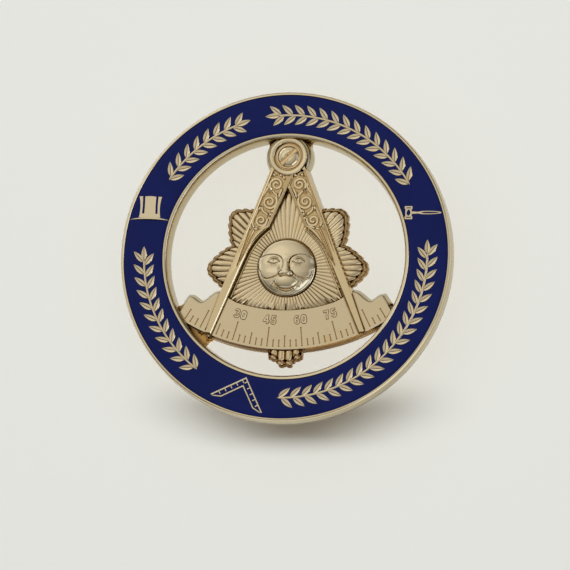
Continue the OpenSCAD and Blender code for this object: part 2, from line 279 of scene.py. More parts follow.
def finish_piece(name, bm, finishes, slot, *nodes, sharp=SHARP_DEG):
    """Cleans the mesh, places it in metres on the root body and hides the frame's parts that it stands for."""
    bmesh.ops.remove_doubles(bm, verts=bm.verts, dist=2e-5)
    bmesh.ops.recalc_face_normals(bm, faces=bm.faces)
    for e in bm.edges:
        e.smooth = e.smooth and len(e.link_faces) == 2 and e.calc_face_angle(0) < math.radians(sharp)
    for f in bm.faces:
        f.smooth = True
    bm.verts.layers.int.remove(bm.verts.layers.int["spot"])
    bm.transform(Matrix.Scale(0.001, 4) @ Matrix.Translation((0, 0, BACK_Z)))
    mesh = bpy.data.meshes.new(name)
    bm.to_mesh(mesh)
    bm.free()
    for finish in finishes if isinstance(finishes, (list, tuple)) else [finishes]:
        mesh.materials.append(finish)
    piece = link(name, mesh)
    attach(piece, "root")
    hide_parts(*nodes)
    return piece


# ---------------------------------------------------------------- materials

def new_finish(name):
    """An empty finish with its shader."""
    mat = bpy.data.materials.new(name)
    mat.use_nodes = True
    nodes, links = mat.node_tree.nodes, mat.node_tree.links
    shader = nodes["Principled BSDF"]
    return mat, nodes, links, shader


# Noise scales count per metre: at 1000, a cloud is about a millimetre wide
def noise_node(nodes, links, scale, detail):
    """Cloudy variation that stays fixed to the piece."""
    coord = nodes.new("ShaderNodeTexCoord")
    tex = nodes.new("ShaderNodeTexNoise")
    tex.inputs["Scale"].default_value = scale
    tex.inputs["Detail"].default_value = detail
    tex.inputs["Roughness"].default_value = 0.5
    links.new(coord.outputs["Object"], tex.inputs["Vector"])
    return tex


def ramp_node(nodes, links, source, stops):
    """Colours by level."""
    ramp = nodes.new("ShaderNodeValToRGB")
    ramp.color_ramp.elements[0].position, ramp.color_ramp.elements[0].color = stops[0][0], (*stops[0][1], 1)
    ramp.color_ramp.elements[1].position, ramp.color_ramp.elements[1].color = stops[-1][0], (*stops[-1][1], 1)
    for position, colour in stops[1:-1]:
        ramp.color_ramp.elements.new(position).color = (*colour, 1)
    links.new(source, ramp.inputs["Fac"])
    return ramp


def times(nodes, links, a, b):
    """The product of two values."""
    node = nodes.new("ShaderNodeMath")
    node.operation = "MULTIPLY"
    links.new(a, node.inputs[0])
    links.new(b, node.inputs[1])
    return node.outputs[0]


def shade_between(nodes, links, source, low, high, least):
    """least at low and below, one at high and above."""
    node = nodes.new("ShaderNodeMapRange")
    node.inputs["From Min"].default_value, node.inputs["From Max"].default_value = low, high
    node.inputs["To Min"].default_value = least
    links.new(source, node.inputs["Value"])
    return node.outputs["Result"]


def gilt(name, light, deep, rough, grain, shade_reach_mm=0.25, sides=None, low=None, ramp_at=(0.42, 0.74, 0.98),
         stipple=0.0, west=None):
    """Pale gilding with painted shade: deeper and redder in the crevices, with a faint cast grain.

    sides paints shade on steep walls and low paints shade on what lies below a height, both as (from, to, least).
    west is a painted reflection: the colour that it turns to at the pin's left side. stipple is the depth of a
    punched ground."""
    mat, nodes, links, shader = new_finish(name)
    shader.inputs["Metallic"].default_value = 1.0
    # painted shade: occlusion deepens and reddens the colour in crevices
    occlusion = nodes.new("ShaderNodeAmbientOcclusion")
    occlusion.samples = 12
    occlusion.inputs["Distance"].default_value = shade_reach_mm * 0.001
    cloud = noise_node(nodes, links, 900.0, 4.0)
    add = nodes.new("ShaderNodeMath")
    add.operation = "MULTIPLY_ADD"
    add.inputs[1].default_value = 0.16
    links.new(cloud.outputs["Fac"], add.inputs[0])
    links.new(occlusion.outputs["AO"], add.inputs[2])
    tone = add.outputs[0]
    patches = noise_node(nodes, links, 260.0, 2.0)
    tone = times(nodes, links, tone, shade_between(nodes, links, patches.outputs["Fac"], 0.35, 0.6, 0.93))
    coord = nodes.new("ShaderNodeTexCoord")
    # painted shade on steep walls and on what lies low
    for limits, kind, scale in ((sides, "Normal", 1.0), (low, "Object", 0.001)):
        if limits:
            split = nodes.new("ShaderNodeSeparateXYZ")
            links.new(coord.outputs[kind], split.inputs[0])
            shade = shade_between(nodes, links, split.outputs["Z"], limits[0] * scale, limits[1] * scale, limits[2])
            tone = times(nodes, links, tone, shade)
    between_tones = tuple(0.55 * a + 0.45 * b for a, b in zip(light, deep))
    nearly_light = tuple(a * b for a, b in zip(light, (0.98, 0.94, 0.84)))
    ramp = ramp_node(nodes, links, tone, [(ramp_at[0], deep), (ramp_at[1], between_tones),
                                          (ramp_at[2], nearly_light), (ramp_at[2] + 0.05, light)])
    colour = ramp.outputs["Color"]
    # painted reflection: bluish grey towards the pin's left
    if west:
        split = nodes.new("ShaderNodeSeparateXYZ")
        links.new(coord.outputs["Object"], split.inputs[0])
        mix = nodes.new("ShaderNodeMix")
        mix.data_type = "RGBA"
        links.new(shade_between(nodes, links, split.outputs["X"], -0.004, -0.0122, 0.0), mix.inputs[0])
        links.new(colour, mix.inputs[6])
        mix.inputs[7].default_value = (*west, 1)
        colour = mix.outputs[2]
    links.new(colour, shader.inputs["Base Color"])
    smear = noise_node(nodes, links, 1600.0, 4.0)
    level = nodes.new("ShaderNodeMapRange")
    level.inputs["To Min"].default_value = rough[0]
    level.inputs["To Max"].default_value = rough[1]
    links.new(smear.outputs["Fac"], level.inputs["Value"])
    links.new(level.outputs["Result"], shader.inputs["Roughness"])
    if stipple:
        skin = nodes.new("ShaderNodeTexVoronoi")
        skin.inputs["Scale"].default_value = 9000.0
        links.new(coord.outputs["Object"], skin.inputs["Vector"])
        height = skin.outputs["Distance"]
    else:
        height = noise_node(nodes, links, 2500.0, 2.0).outputs["Fac"]
    bump = nodes.new("ShaderNodeBump")
    bump.inputs["Strength"].default_value = stipple or grain
    bump.inputs["Distance"].default_value = 0.00006 if stipple else 0.00001
    links.new(height, bump.inputs["Height"])
    links.new(bump.outputs["Normal"], shader.inputs["Normal"])
    return mat


def enamel():
    """Deep navy enamel, glossy, with a faint cloudiness."""
    mat, nodes, links, shader = new_finish("navy_enamel")
    cloud = noise_node(nodes, links, 500.0, 4.0)
    ramp = ramp_node(nodes, links, cloud.outputs["Fac"], [(0.3, (0.0072, 0.0145, 0.118)),
                                                          (0.7, (0.0088, 0.0175, 0.142))])
    links.new(ramp.outputs["Color"], shader.inputs["Base Color"])
    shader.inputs["Roughness"].default_value = 0.16
    shader.inputs["Specular IOR Level"].default_value = 0.12
    skin = noise_node(nodes, links, 1500.0, 2.0)
    bump = nodes.new("ShaderNodeBump")
    bump.inputs["Strength"].default_value = 0.06
    bump.inputs["Distance"].default_value = 0.00003
    links.new(skin.outputs["Fac"], bump.inputs["Height"])
    links.new(bump.outputs["Normal"], shader.inputs["Normal"])
    return mat


# Each gilding: its light tone, its tone in the crevices (painted shade), roughness from and to, grain, and the
# crevices' reach in mm
PALE_GOLD = (0.80, 0.665, 0.43)
RICH_GOLD = (0.83, 0.65, 0.365)
CREVICE_SHADE_GOLD = (0.40, 0.21, 0.055)
polished = gilt("pale_gilding", PALE_GOLD, CREVICE_SHADE_GOLD, (0.16, 0.22), 0.06, 0.2, sides=(0.0, 0.4, 0.6))
# painted shade for the inner chamfer on the ring's left and lower side
rim_shade = gilt("inner_edge_painted_shade", (0.36, 0.32, 0.25), (0.22, 0.15, 0.08), (0.16, 0.22), 0.06, 0.2)
# painted reflection: the outer chamfer turns bluish grey at the pin's left
rim_edge = gilt("rim_edge_painted_reflection", PALE_GOLD, CREVICE_SHADE_GOLD, (0.16, 0.22), 0.06, 0.2, west=(0.21, 0.215, 0.235))
# painted shade: the ring's upright walls are dulled and darkened
ring_wall = gilt("ring_wall_painted_shade", (0.50, 0.41, 0.24), (0.28, 0.18, 0.07), (0.18, 0.26), 0.06, 0.3)
bright = gilt("bright_gilding", (0.82, 0.67, 0.41), (0.36, 0.18, 0.04), (0.10, 0.15), 0.03, 0.12)
struck = gilt("struck_gilding", (0.86, 0.71, 0.45), (0.36, 0.18, 0.04), (0.14, 0.20), 0.03, 0.08)
satin = gilt("satin_gilding", (0.78, 0.63, 0.385), (0.20, 0.11, 0.035), (0.18, 0.26), 0.1, 0.15,
             sides=(0.1, 0.7, 0.42))
leg_gold = gilt("leg_gilding", RICH_GOLD, CREVICE_SHADE_GOLD, (0.14, 0.2), 0.05, 0.12, sides=(0.05, 0.5, 0.5))
# painted shade: the star's rim and groove bottoms darken below their tops
chased = gilt("chased_gilding", (0.83, 0.655, 0.385), (0.35, 0.20, 0.06), (0.14, 0.22), 0.08, 0.12,
              sides=(0.1, 0.8, 0.6), low=(BACK_Z + 0.57, BACK_Z + 0.685, 0.50))
warm_gold = gilt("warm_gilding", (0.84, 0.64, 0.36), (0.45, 0.25, 0.08), (0.16, 0.24), 0.08, 0.15)
# painted shade for the milled strip beside the left leg's inner wall
strip_shade_gold = gilt("strip_painted_shade", (0.66, 0.49, 0.22), (0.22, 0.12, 0.03), (0.2, 0.3), 0.08, 0.15)
# painted shade: near black for walls that face away from the light
shade_wall = gilt("painted_wall_shade", (0.10, 0.06, 0.02), (0.03, 0.016, 0.005), (0.2, 0.3), 0.08, 0.15)
# painted shade for the quadrant's down-facing lower wall, redder at the left and more orange at the right
red_edge_shade = gilt("reddish_edge_shade", (0.26, 0.12, 0.035), (0.10, 0.04, 0.01), (0.2, 0.3), 0.1, 0.2)
# painted shade: the emblem bed's leaning walls are darker and olive
olive_wall_shade = gilt("olive_wall_shade", (0.52, 0.45, 0.30), (0.20, 0.13, 0.05), (0.2, 0.3), 0.08, 0.2)
# painted shade for the emblem bed's down-facing walls
copper_wall_shade = gilt("coppery_wall_shade", (0.44, 0.27, 0.10), (0.16, 0.08, 0.02), (0.2, 0.3), 0.1, 0.2)
etched = gilt("etched_lines", (0.80, 0.50, 0.18), (0.50, 0.26, 0.07), (0.3, 0.4), 0.1, 0.1)
# copper colour with painted shade: near black in the lugs' hollows under the emblem
copper = gilt("copper_shadow", (0.62, 0.36, 0.11), (0.05, 0.02, 0.006), (0.16, 0.30), 0.3, 0.35,
              ramp_at=(0.35, 0.7, 1.0))
# painted highlight: the scrolls' tops are lighter than the leg
scroll_highlight_gold = gilt("scroll_painted_highlight", (0.87, 0.70, 0.41), (0.38, 0.20, 0.05), (0.12, 0.18), 0.05, 0.1)
# painted shade: the foot darkens where it runs low under the quadrant
foot_gold = gilt("foot_gilding", (0.84, 0.64, 0.35), (0.30, 0.14, 0.035), (0.14, 0.22), 0.06, 0.12,
                 low=(BACK_Z + 0.44, BACK_Z + 0.64, 0.42))
orange_edge_shade = gilt("orange_edge_shade", (0.62, 0.33, 0.09), (0.20, 0.09, 0.02), (0.2, 0.3), 0.1, 0.2)
# a real punched ground, painted darker as shade between the scrolls
stippled = gilt("stippled_ground_shade", (0.75, 0.54, 0.26), (0.34, 0.18, 0.05), (0.25, 0.36), 0.2, 0.07, stipple=0.3)
plating = gilt("back_plating", (0.70, 0.58, 0.38), (0.34, 0.22, 0.10), (0.3, 0.42), 0.2, 0.6)
navy = enamel()


# --------------------------------------------------------------------- ring

STEEP, LEVEL = 0.45, 0.97


def ring_walls(bm):
    """The ring's upright walls get a duller, darker gilding: painted shade."""
    bm.normal_update()
    for f in bm.faces:
        if abs(f.normal.z) < STEEP:
            f.material_index = 1


def is_chamfer(f):
    """True for the sloping faces between the ring's top and its walls."""
    return STEEP < f.normal.z < LEVEL


def outer_rim():
    """The ring's outer wall, with a rounded upper edge."""
    bm = new_shape()
    outside = [(12.60, 0.0), (12.66, 0.03), (12.70, 0.12), (12.70, 0.7), (12.685, 1.2), (12.655, 1.38),
               (12.61, 1.465), (12.56, 1.495), (12.53, 1.5)]
    turned(bm, outside + [(12.45, 1.5), (BAND_OUT_R, 1.48), (BAND_OUT_R, 0.0)], 720)
    ring_walls(bm)
    # the outer chamfer, with a painted reflection at the left
    for f in bm.faces:
        if is_chamfer(f):
            f.material_index = 2
    return finish_piece("outer_rim", bm, [polished, ring_wall, rim_edge], "gilt_metal", "ring_frame")


def ring_channel():
    """The floor below the enamel, with the ring's inner rim."""
    bm = new_shape()
    inside = [(9.32, 1.5), (9.27, 1.49), (9.215, 1.45), (9.165, 1.36), (9.12, 1.18), (9.075, 0.85), (9.03, 0.4),
              (9.01, 0.12), (9.03, 0.03), (9.09, 0.0)]
    channel = [(BAND_OUT_R, 0.0), (BAND_OUT_R, 1.05), (BAND_IN_R, 1.05), (BAND_IN_R, 1.48), (9.43, 1.5)]
    turned(bm, channel + inside, 540)
    ring_walls(bm)
    # the inner chamfer gets painted shade on the left and lower side
    for f in bm.faces:
        if is_chamfer(f) and 115 < from_centre(f)[2] % 360 < 335:
            f.material_index = 2
    return finish_piece("ring_channel", bm, [polished, ring_wall, rim_shade], "gilt_metal", "ring_frame")


def solder_lugs():
    """Rough copper-coloured lugs that carry the emblem, half hidden under it."""
    bm = new_shape()
    left = arc((0, 0), 9.15, 203.5, 227.0, 10) + [polar(7.15, 227.0), polar(7.3, 221), polar(7.5, 216),
                                                  polar(7.95, 210), polar(8.3, 203.5)]
    right = arc((0, 0), 9.15, 322.0, 336.5, 8) + [polar(8.35, 336.5), polar(8.1, 331), polar(7.6, 326),
                                                  polar(7.3, 322.0)]
    top = [(-1.62, 8.95), (-1.62, 7.7), (1.62, 7.7), (1.62, 8.95)]
    for outline in (left, right, top):
        plate(bm, outline, 0.0, 0.45, 0.05, 0.1, 3)
    # melt marks where the solder ran into the corner
    marks = [(205.5, 8.7, 0.35), (207.5, 8.6, 0.55), (209.5, 8.5, 0.75), (211.5, 8.5, 0.8), (213.5, 8.4, 0.9),
             (215.5, 8.35, 0.95), (217.5, 8.35, 1.0), (219.5, 8.3, 1.05), (221.5, 8.25, 1.1), (223.5, 8.25, 1.1),
             (225.5, 8.2, 1.1), (324, 8.4, 0.9), (326.5, 8.5, 0.8), (329, 8.55, 0.7), (331.5, 8.6, 0.65),
             (334, 8.65, 0.6)]
    for k, (a, r, length) in enumerate(marks):
        path = [polar(r - length / 2 + length * i / 6, a + 1.6 * math.sin(i * 1.1 + 2.3 * k) + 0.25 * i)
                for i in range(7)]
        bead(bm, path, 0.10 + 0.03 * (k % 3), 0.16 + 0.06 * (k % 2), 0.43, widths=[0, 0.8, 1, 1, 1, 0.8, 0])
    return finish_piece("solder_lugs", bm, copper, "gilt_metal", "ring_frame")


def enamel_stretch(name, start, sweep, steps):
    """Part of the enamel band, from a starting angle through a sweep, slightly hollow on top."""
    bm = new_shape()
    section = [(9.47, 1.07), (9.47, 1.42), (9.485, 1.452), (9.53, 1.466), (9.8, 1.468), (10.9, 1.462), (12.1, 1.468),
               (12.35, 1.466), (12.395, 1.452), (12.41, 1.42), (12.41, 1.07)]
    turned(bm, section, steps, start=start, sweep=sweep)
    bmesh.ops.holes_fill(bm, edges=[e for e in bm.edges if e.is_boundary], sides=0)
    return finish_piece(name, bm, navy, "blue_enamel", "enamel_band")


def enamel_band():
    """The enamel band but for its lowest stretch."""
    return enamel_stretch("enamel_band", 310, 280, 420)


def enamel_lowest():
    """The band's lowest stretch, which throws the soft shadow on the table."""
    return enamel_stretch("enamel_lowest", 230, 80, 120)


# ------------------------------------------------------- figures on the band

FIGURE_LOW = 1.1
HAT_AT, HAT_TURN = (-10.52, 2.95), -2.0
GAVEL_AT = (9.36, 3.28)
SQUARE_AT, SQUARE_TURN = (-2.74, -9.27), 204.8


def top_hat():
    """A waisted hat with slots beside the crown, and its curved brim."""
    bm = new_shape()

    def side(y):
        """Half the crown's width at a height, narrowest in the middle."""
        t = (y - 0.06) / 1.66
        return 0.84 * (1 - t) * (1 - 2 * t) + 0.76 * 4 * t * (1 - t) + 0.88 * t * (2 * t - 1)

    levels = [0.06, 0.38, 0.7, 1.0, 1.3, 1.55, 1.72]
    right = [(side(y), y) for y in levels]
    slot_r = [(0.585, 1.72), (0.565, 1.0), (0.585, 0.4), (0.44, 0.4), (0.42, 1.0), (0.435, 1.72)]
    crown = right + slot_r + [(0.0, 1.76)] + flipped(slot_r) + flipped(right)
    plate(bm, placed(crown, HAT_AT, HAT_TURN), FIGURE_LOW, TOP_Z, 0.0, 0.03)
    xs = [i / 8 for i in range(-8, 9)]
    brim = [(1.49 * x, -0.05 - 0.08 * x * x) for x in xs] + [(1.49 * x, 0.13 - 0.21 * x * x) for x in reversed(xs)]
    plate(bm, placed(brim, HAT_AT, HAT_TURN), FIGURE_LOW, TOP_Z - 0.002, 0.0, 0.03)
    return finish_piece("top_hat", bm, polished, "gilt_metal", "ring_frame")


def frame_plate(bm, outer, inner, z_low, z_high, edge=0.025):
    """A flat frame between two outlines."""
    faces, _ = filled(bm, [outer, inner], z_low)
    outline = list(outer) + list(inner)
    top = lifted(bm, faces, [(outline, z_low), (outline, z_high - edge)])
    soften(bm, top, z_high, edge)


def gavel():
    """Head in three parts, slit and pierced, and a slit handle."""
    bm = new_shape()

    def box(x0, y0, x1, y1):
        """A rectangle between two corners."""
        return [(x0, y0), (x1, y0), (x1, y1), (x0, y1)]

    def pierced(outer, hole, top, edge):
        """A part of the gavel with its opening."""
        frame_plate(bm, placed(outer, GAVEL_AT, 0), placed(hole, GAVEL_AT, 0), FIGURE_LOW, top, edge)

    for s in (-1, 1):
        outline = [(-0.3, 0.28), (0.3, 0.28), (0.3, 0.47), (0.26, 0.51), (-0.26, 0.51), (-0.3, 0.47)]
        outline = outline if s > 0 else [(x, -y) for x, y in reversed(outline)]
        slit = box(-0.17, 0.375 * s - 0.02, 0.17, 0.375 * s + 0.02)
        pierced(outline, slit, TOP_Z, 0.015)
    barrel = box(-0.25, -0.285, 0.25, 0.285)
    hole = [(0.14 * math.cos(a), 0.22 * math.sin(a)) for a in [TAU * i / 16 for i in range(16)]]
    pierced(barrel, hole, TOP_Z - 0.001, 0.02)
    upper = [(0.22, 0.1), (0.45, 0.1), (0.68, 0.075), (0.85, 0.1), (1.1, 0.135), (1.6, 0.14), (2.1, 0.115),
             (2.42, 0.075), (2.54, 0.0)]
    handle = [(x, -y) for x, y in upper[:-1]] + list(reversed(upper))
    slit = [(1.02, -0.012), (1.25, -0.05), (1.7, -0.052), (2.15, -0.03), (2.3, 0.0), (2.15, 0.03), (1.7, 0.052),
            (1.25, 0.05), (1.02, 0.012)]
    pierced(handle, slit, TOP_Z - 0.002, 0.02)
    return finish_piece("gavel", bm, polished, "gilt_metal", "ring_frame")


def set_square():
    """An outlined square with marks along both arms."""
    bm = new_shape()

    def outline(inset):
        """The square, drawn in by so much on every side."""
        arm = [(3.04 - inset, inset), (2.92 - inset, 0.22 - inset / 3), (2.39 - inset / 3, 0.56 - inset),
               (0.56 - inset, 0.56 - inset)]
        other = [(y, x) for x, y in reversed(arm[:-1])]
        return [(inset, inset)] + arm + other

    outer, inner = (placed(outline(inset), SQUARE_AT, SQUARE_TURN) for inset in (0.0, 0.11))
    frame_plate(bm, outer, inner, FIGURE_LOW, TOP_Z, 0.02)
    for swap in (False, True):
        for i in range(5):
            x = 0.374 + 0.493 * i
            tick = [(x - 0.045, 0.06), (x + 0.045, 0.06), (x + 0.045, 0.31), (x, 0.345), (x - 0.045, 0.31)]
            if swap:
                tick = [(b, a) for a, b in reversed(tick)]
            plate(bm, placed(tick, SQUARE_AT, SQUARE_TURN), FIGURE_LOW, TOP_Z - 0.003, 0.0, 0.02)
    return finish_piece("set_square", bm, polished, "gilt_metal", "ring_frame")


STEM_R = 10.86


def leaf(bm, at, heading, length, width):
    """A flat-topped leaf with a chased midrib, closed below."""
    along = [0.0, 0.04, 0.16, 0.32, 0.5, 0.68, 0.84, 0.95, 1.0]
    across = [(-1.0, -0.32), (-1.0, -0.03), (-0.86, 0.0), (-0.12, -0.012), (0.0, -0.05), (0.12, -0.012), (0.86, 0.0),
              (1.0, -0.03), (1.0, -0.32)]

    def place(i, j):
        """Corner i along the leaf and j across it."""
        u = along[i]
        half = width / 2 * math.sin(math.pi * u ** 0.8) ** 0.85 if 0 < u < 1 else 0.0
        side, drop = across[j % len(across)]
        point = placed([(length * u, side * half)], at, heading)[0]
        inside = min(1.0, half / 0.05)
        return (point[0], point[1], TOP_Z + (drop if drop < -0.2 else drop * inside - 0.03 * (1 - inside)))

    mapped_grid(bm, len(along) - 1, len(across), place)


def sprig(name, start, end, pairs):
    """A stem with pairs of leaves, from one angle on the band to another."""
    bm = new_shape()
    step = (end - start) / pairs
    sign = 1 if step > 0 else -1
    for i in range(pairs):
        for side in (-1, 1):
            a = start + step * (i + 0.25 + side * 0.12)
            leaf(bm, polar(STEM_R + side * 0.05, a), a + 90 * sign - side * sign * 40, 1.12, 0.46)
    a = end - 0.5 * step
    leaf(bm, polar(STEM_R, a), a + 90 * sign, 1.1, 0.46)
    bead(bm, arc((0, 0), STEM_R, start, end - 0.4 * step, pairs * 4), 0.085, 0.03, TOP_Z - 0.032, sink=0.15)
    return finish_piece(name, bm, polished, "gilt_metal", "ring_frame")


# each sprig's name, the angles that it runs between, and its pairs of leaves
SPRIGS = [("upper_left_sprig", 147, 109, 8), ("upper_right_sprig", 30, 96, 14),
          ("lower_left_sprig", 233, 179, 11), ("lower_right_sprig", 268, 363, 20)]


# ------------------------------------------------------------------ sunburst

RAYS = 72
RAY_TOP = 0.705
LOBE = 0.52


def star_rim(deg):
    """Distance from the sun's centre to the star's outline."""
    a = deg % 45
    a = max(2.2, min(a, 45 - a))
    return 6.27 - 0.0735 * (math.sqrt(a * a + 4.8) - 2.2)


def in_scale(x, y):
    """True where the quadrant covers the star."""
    return y < -2 and SCALE_IN_R - 0.02 < math.hypot(x, y - HINGE_Y) < SCALE_OUT_R - 0.05


# Across a bar: a place and its share of the groove's depth. Below 1, the place is a share of the bar's flat top; 1 is
# the groove's middle and 2 its side.
SPOTS = [(-1.0, 1.0), (-2.0, 0.6), (-0.999, 0.06), (-0.72, 0.0), (-0.3, 0.0), (0.3, 0.0), (0.72, 0.0), (0.999, 0.06),
         (2.0, 0.6)]


def ray_field(bm, first, bars, rim, rows_in, phase, full, grooves=(0.022, 0.068), crown=(0.006, 0.010), lobe=0.045):
    """Flat-topped bars that fan out from the sun's centre, each ending in a rounded lobe."""
    ends = [(-LOBE, RAY_TOP, 1.0), (-0.49, 0.69, 1.5), (-0.475, 0.63, 2.0), (-0.46, 0.56, 2.6), (-0.42, 0.545, 2.6),
            (-0.38, 0.57, 0.9), (-0.29, 0.59, 0.35), (-0.19, 0.58, 0.3), (-0.11, 0.53, 0.4), (-0.06, 0.46, 0.5),
            (-0.03, 0.36, 0.5), (-0.01, 0.2, 0.2), (0.0, 0.0, 0.0)]
    shares = [0.0, 0.12, 0.28, 0.46, 0.64, 0.82]
    pitch = 360 / RAYS
    rows = len(rows_in) + len(shares) + len(ends) + 1
    columns = bars * len(SPOTS)

    def place(i, j):
        """Corner i round the star and j outwards, then back below."""
        # the moat round the face is widest at the lower right, and the rays at the lower left are cut deepest
        i = i % columns if full else min(i, columns)
        k, (spot, cut) = i // len(SPOTS), SPOTS[i % len(SPOTS)]
        if k == bars:
            k, spot, cut = bars - 1, 1.0, 1.0
        middle = first + k * pitch + phase
        wider = 0.075 * max(0.0, math.cos(math.radians(middle + 35))) ** 3 if full else 0.0
        j %= rows
        side = 1 if spot > 0 else -1
        share = 1.0 if abs(spot) >= 1 else abs(spot)
        edge = rim(middle + 0.5 * pitch * side * share) + 0.03 - lobe * share ** 2.2
        if j < len(rows_in):
            r, z, deep = rows_in[j]
            r += wider if j else 0.0
        elif j < len(rows_in) + len(shares):
            inner = rows_in[-1][0] + wider
            r = inner + (edge - LOBE - inner) * shares[j - len(rows_in)]
            z, deep = RAY_TOP, 1.0
        elif j < rows - 1:
            out, z, deep = ends[j - len(rows_in) - len(shares)]
            r = edge + out
        else:
            r, z, deep = rows_in[0][0], 0.0, 0.0
        half = math.radians(pitch) * r / 2
        fine = 0.4 + 0.6 * smoothstep((abs(middle - 90) - 14) / 12) + 0.55 * math.exp(-((middle - 212) / 26) ** 2)
        groove = min(0.4, (0.026 + 0.045 * fine * smoothstep((r - 2.8) / 2.2)) / half) if half > 0 else 0.4
        if abs(spot) == 1:
            t = side
        elif abs(spot) == 2:
            t = side * (1 - 0.45 * groove)
        else:
            t = side * (1 - groove) * share
        depth = (grooves[0] + (grooves[1] - grooves[0]) * smoothstep((r - 3.2) / 2.4)) * fine
        round_off = crown[0] + (crown[1] - crown[0]) * smoothstep((r - 3.2) / 1.8)
        z = max(0.0, z - depth * deep * cut - round_off * share ** 2) if z > 0.01 else 0.0
        x, y = polar(r, middle + t * pitch / 2, SUN)
        if in_scale(x, y):
            z = min(z, 0.44)
        return (x, y, z)

    mapped_grid(bm, columns, rows, place)
    if not full:
        bmesh.ops.holes_fill(bm, edges=[e for e in bm.edges if e.is_boundary], sides=0)


def in_dark_crescent(turn):
    """True at the lower right of the face, where the walls of its moat get painted shade."""
    return abs(turn + 35) < 42


def foot_rim(deg):
    """Outline of the star's long bottom point, in three steps on each side."""
    a = abs(deg - 270)
    return 7.57 - 0.42 * smoothstep((a - 4.0) / 2.0) - 0.7 * smoothstep((a - 9.8) / 2.4)


def sunburst():
    """The rayed star with its foot below the quadrant."""
    bm = new_shape()
    inner = [(0.0, 0.40, 0.0), (2.17, 0.40, 0.0), (2.19, 0.56, 0.0), (2.22, 0.65, 0.5), (2.26, 0.69, 1.3),
             (2.31, 0.70, 1.2)]
    ray_field(bm, 0.0, RAYS, star_rim, inner, 0.0, True)
    ray_field(bm, 255.0, 6, foot_rim, [(5.4, 0.0, 0.0), (5.4, 0.42, 0.0), (6.0, 0.43, 0.0), (6.12, 0.66, 1.0)], 2.5,
              False, (0.10, 0.10), (0.10, 0.10), 0.09)
    for f in bm.faces:
        c, r, turn = from_centre(f, SUN_Y)
        if c.y < -5.6:
            f.material_index = 1
        # the moat's walls at the lower right get painted shade
        elif 2.1 < r < 2.32 and c.z < 0.63 and in_dark_crescent(turn):
            f.material_index = 2
    return finish_piece("sunburst", bm, [chased, foot_gold, shade_wall], "gilt_metal", "sunburst", sharp=40)


def warm_walls(bm, left, right):
    """Walls low on the emblem that face down the pin get darker, coppery colours: painted shade."""
    bm.normal_update()
    for f in bm.faces:
        c = f.calc_center_median()
        if f.normal.z < 0.7 and f.normal.y < -0.5 and c.y < -4.5:
            f.material_index = right if c.x > 1.6 else left


def emblem_bed():
    """Leaning walls below the hinge, the legs and the quadrant, down to the emblem's back."""
    bm = new_shape()
    turned(bm, [(1.40, 0.01), (1.84, 0.01), (1.83, 0.25), (1.79, 0.52), (1.73, 0.76), (1.66, 0.92), (1.58, 1.0),
                (1.40, 1.0)], 128, HINGE)
    levels = [(leg_walls(leg_outline(), by), z) for by, z in ((0.15, 0.01), (0.10, 0.42), (0.06, 0.74))]
    for turn in (list, flipped):
        walls = [(turn(wall), z) for wall, z in levels]
        lifted(bm, [bm.faces.new(loop_corners(bm, walls[0][0], 0.01))], walls)
    outline = quadrant_outline()
    levels = [([b if q[1] > -4.4 else a for q, a, b in zip(outline, grown(outline, low), grown(outline, high))], z)
              for low, high, z in ((0.19, 0.34, 0.02), (0.15, 0.22, 0.30), (0.10, 0.13, 0.50))]
    lifted(bm, [bm.faces.new(loop_corners(bm, levels[0][0], 0.02))], levels)
    # the bed's walls are painted darker, as painted shade
    warm_walls(bm, 1, 1)
    return finish_piece("emblem_bed", bm, [olive_wall_shade, copper_wall_shade], "gilt_metal", "sunburst", sharp=40)


# -------------------------------------------------------- quadrant and legs

NUMBER_STEP = 10.6
SCALE_LOW = 0.47


def quadrant_outline():
    """The scale's plan: two arcs that end in ogees."""
    lower = arc(HINGE, SCALE_OUT_R, 270 - 32.6, 270 + 32.6, 64)
    upper_in = arc(HINGE, SCALE_IN_R, 270 + 19, 270 - 19, 40)
    ogee = curve_through([(7.389, -3.002), (7.25, -3.02), (7.087, -3.12), (6.797, -3.35), (6.62, -3.435),
                          (6.435, -3.453), (6.2, -3.37), (5.935, -3.179), (5.76, -3.02), (5.597, -2.889),
                          (5.355, -2.736), (5.095, -2.692)], 2)
    right = [(8.2, -4.28), (7.45, -3.08)] + ogee
    return lower + right + upper_in + flipped(right)


def tick(r_out, length, deg):
    """A thin cut with a drilled dot at both ends."""
    w, dot = 0.040, 0.070
    r0, r1 = -r_out, -r_out + length
    shape = [(w, r0 + 0.1), (w, r1 - 0.1), (dot, r1 - 0.055), (w, r1), (-w, r1), (-dot, r1 - 0.055), (-w, r1 - 0.1),
             (-w, r0 + 0.1), (-dot, r0 + 0.055), (-w, r0), (w, r0), (dot, r0 + 0.055)]
    return placed(shape, HINGE, deg)


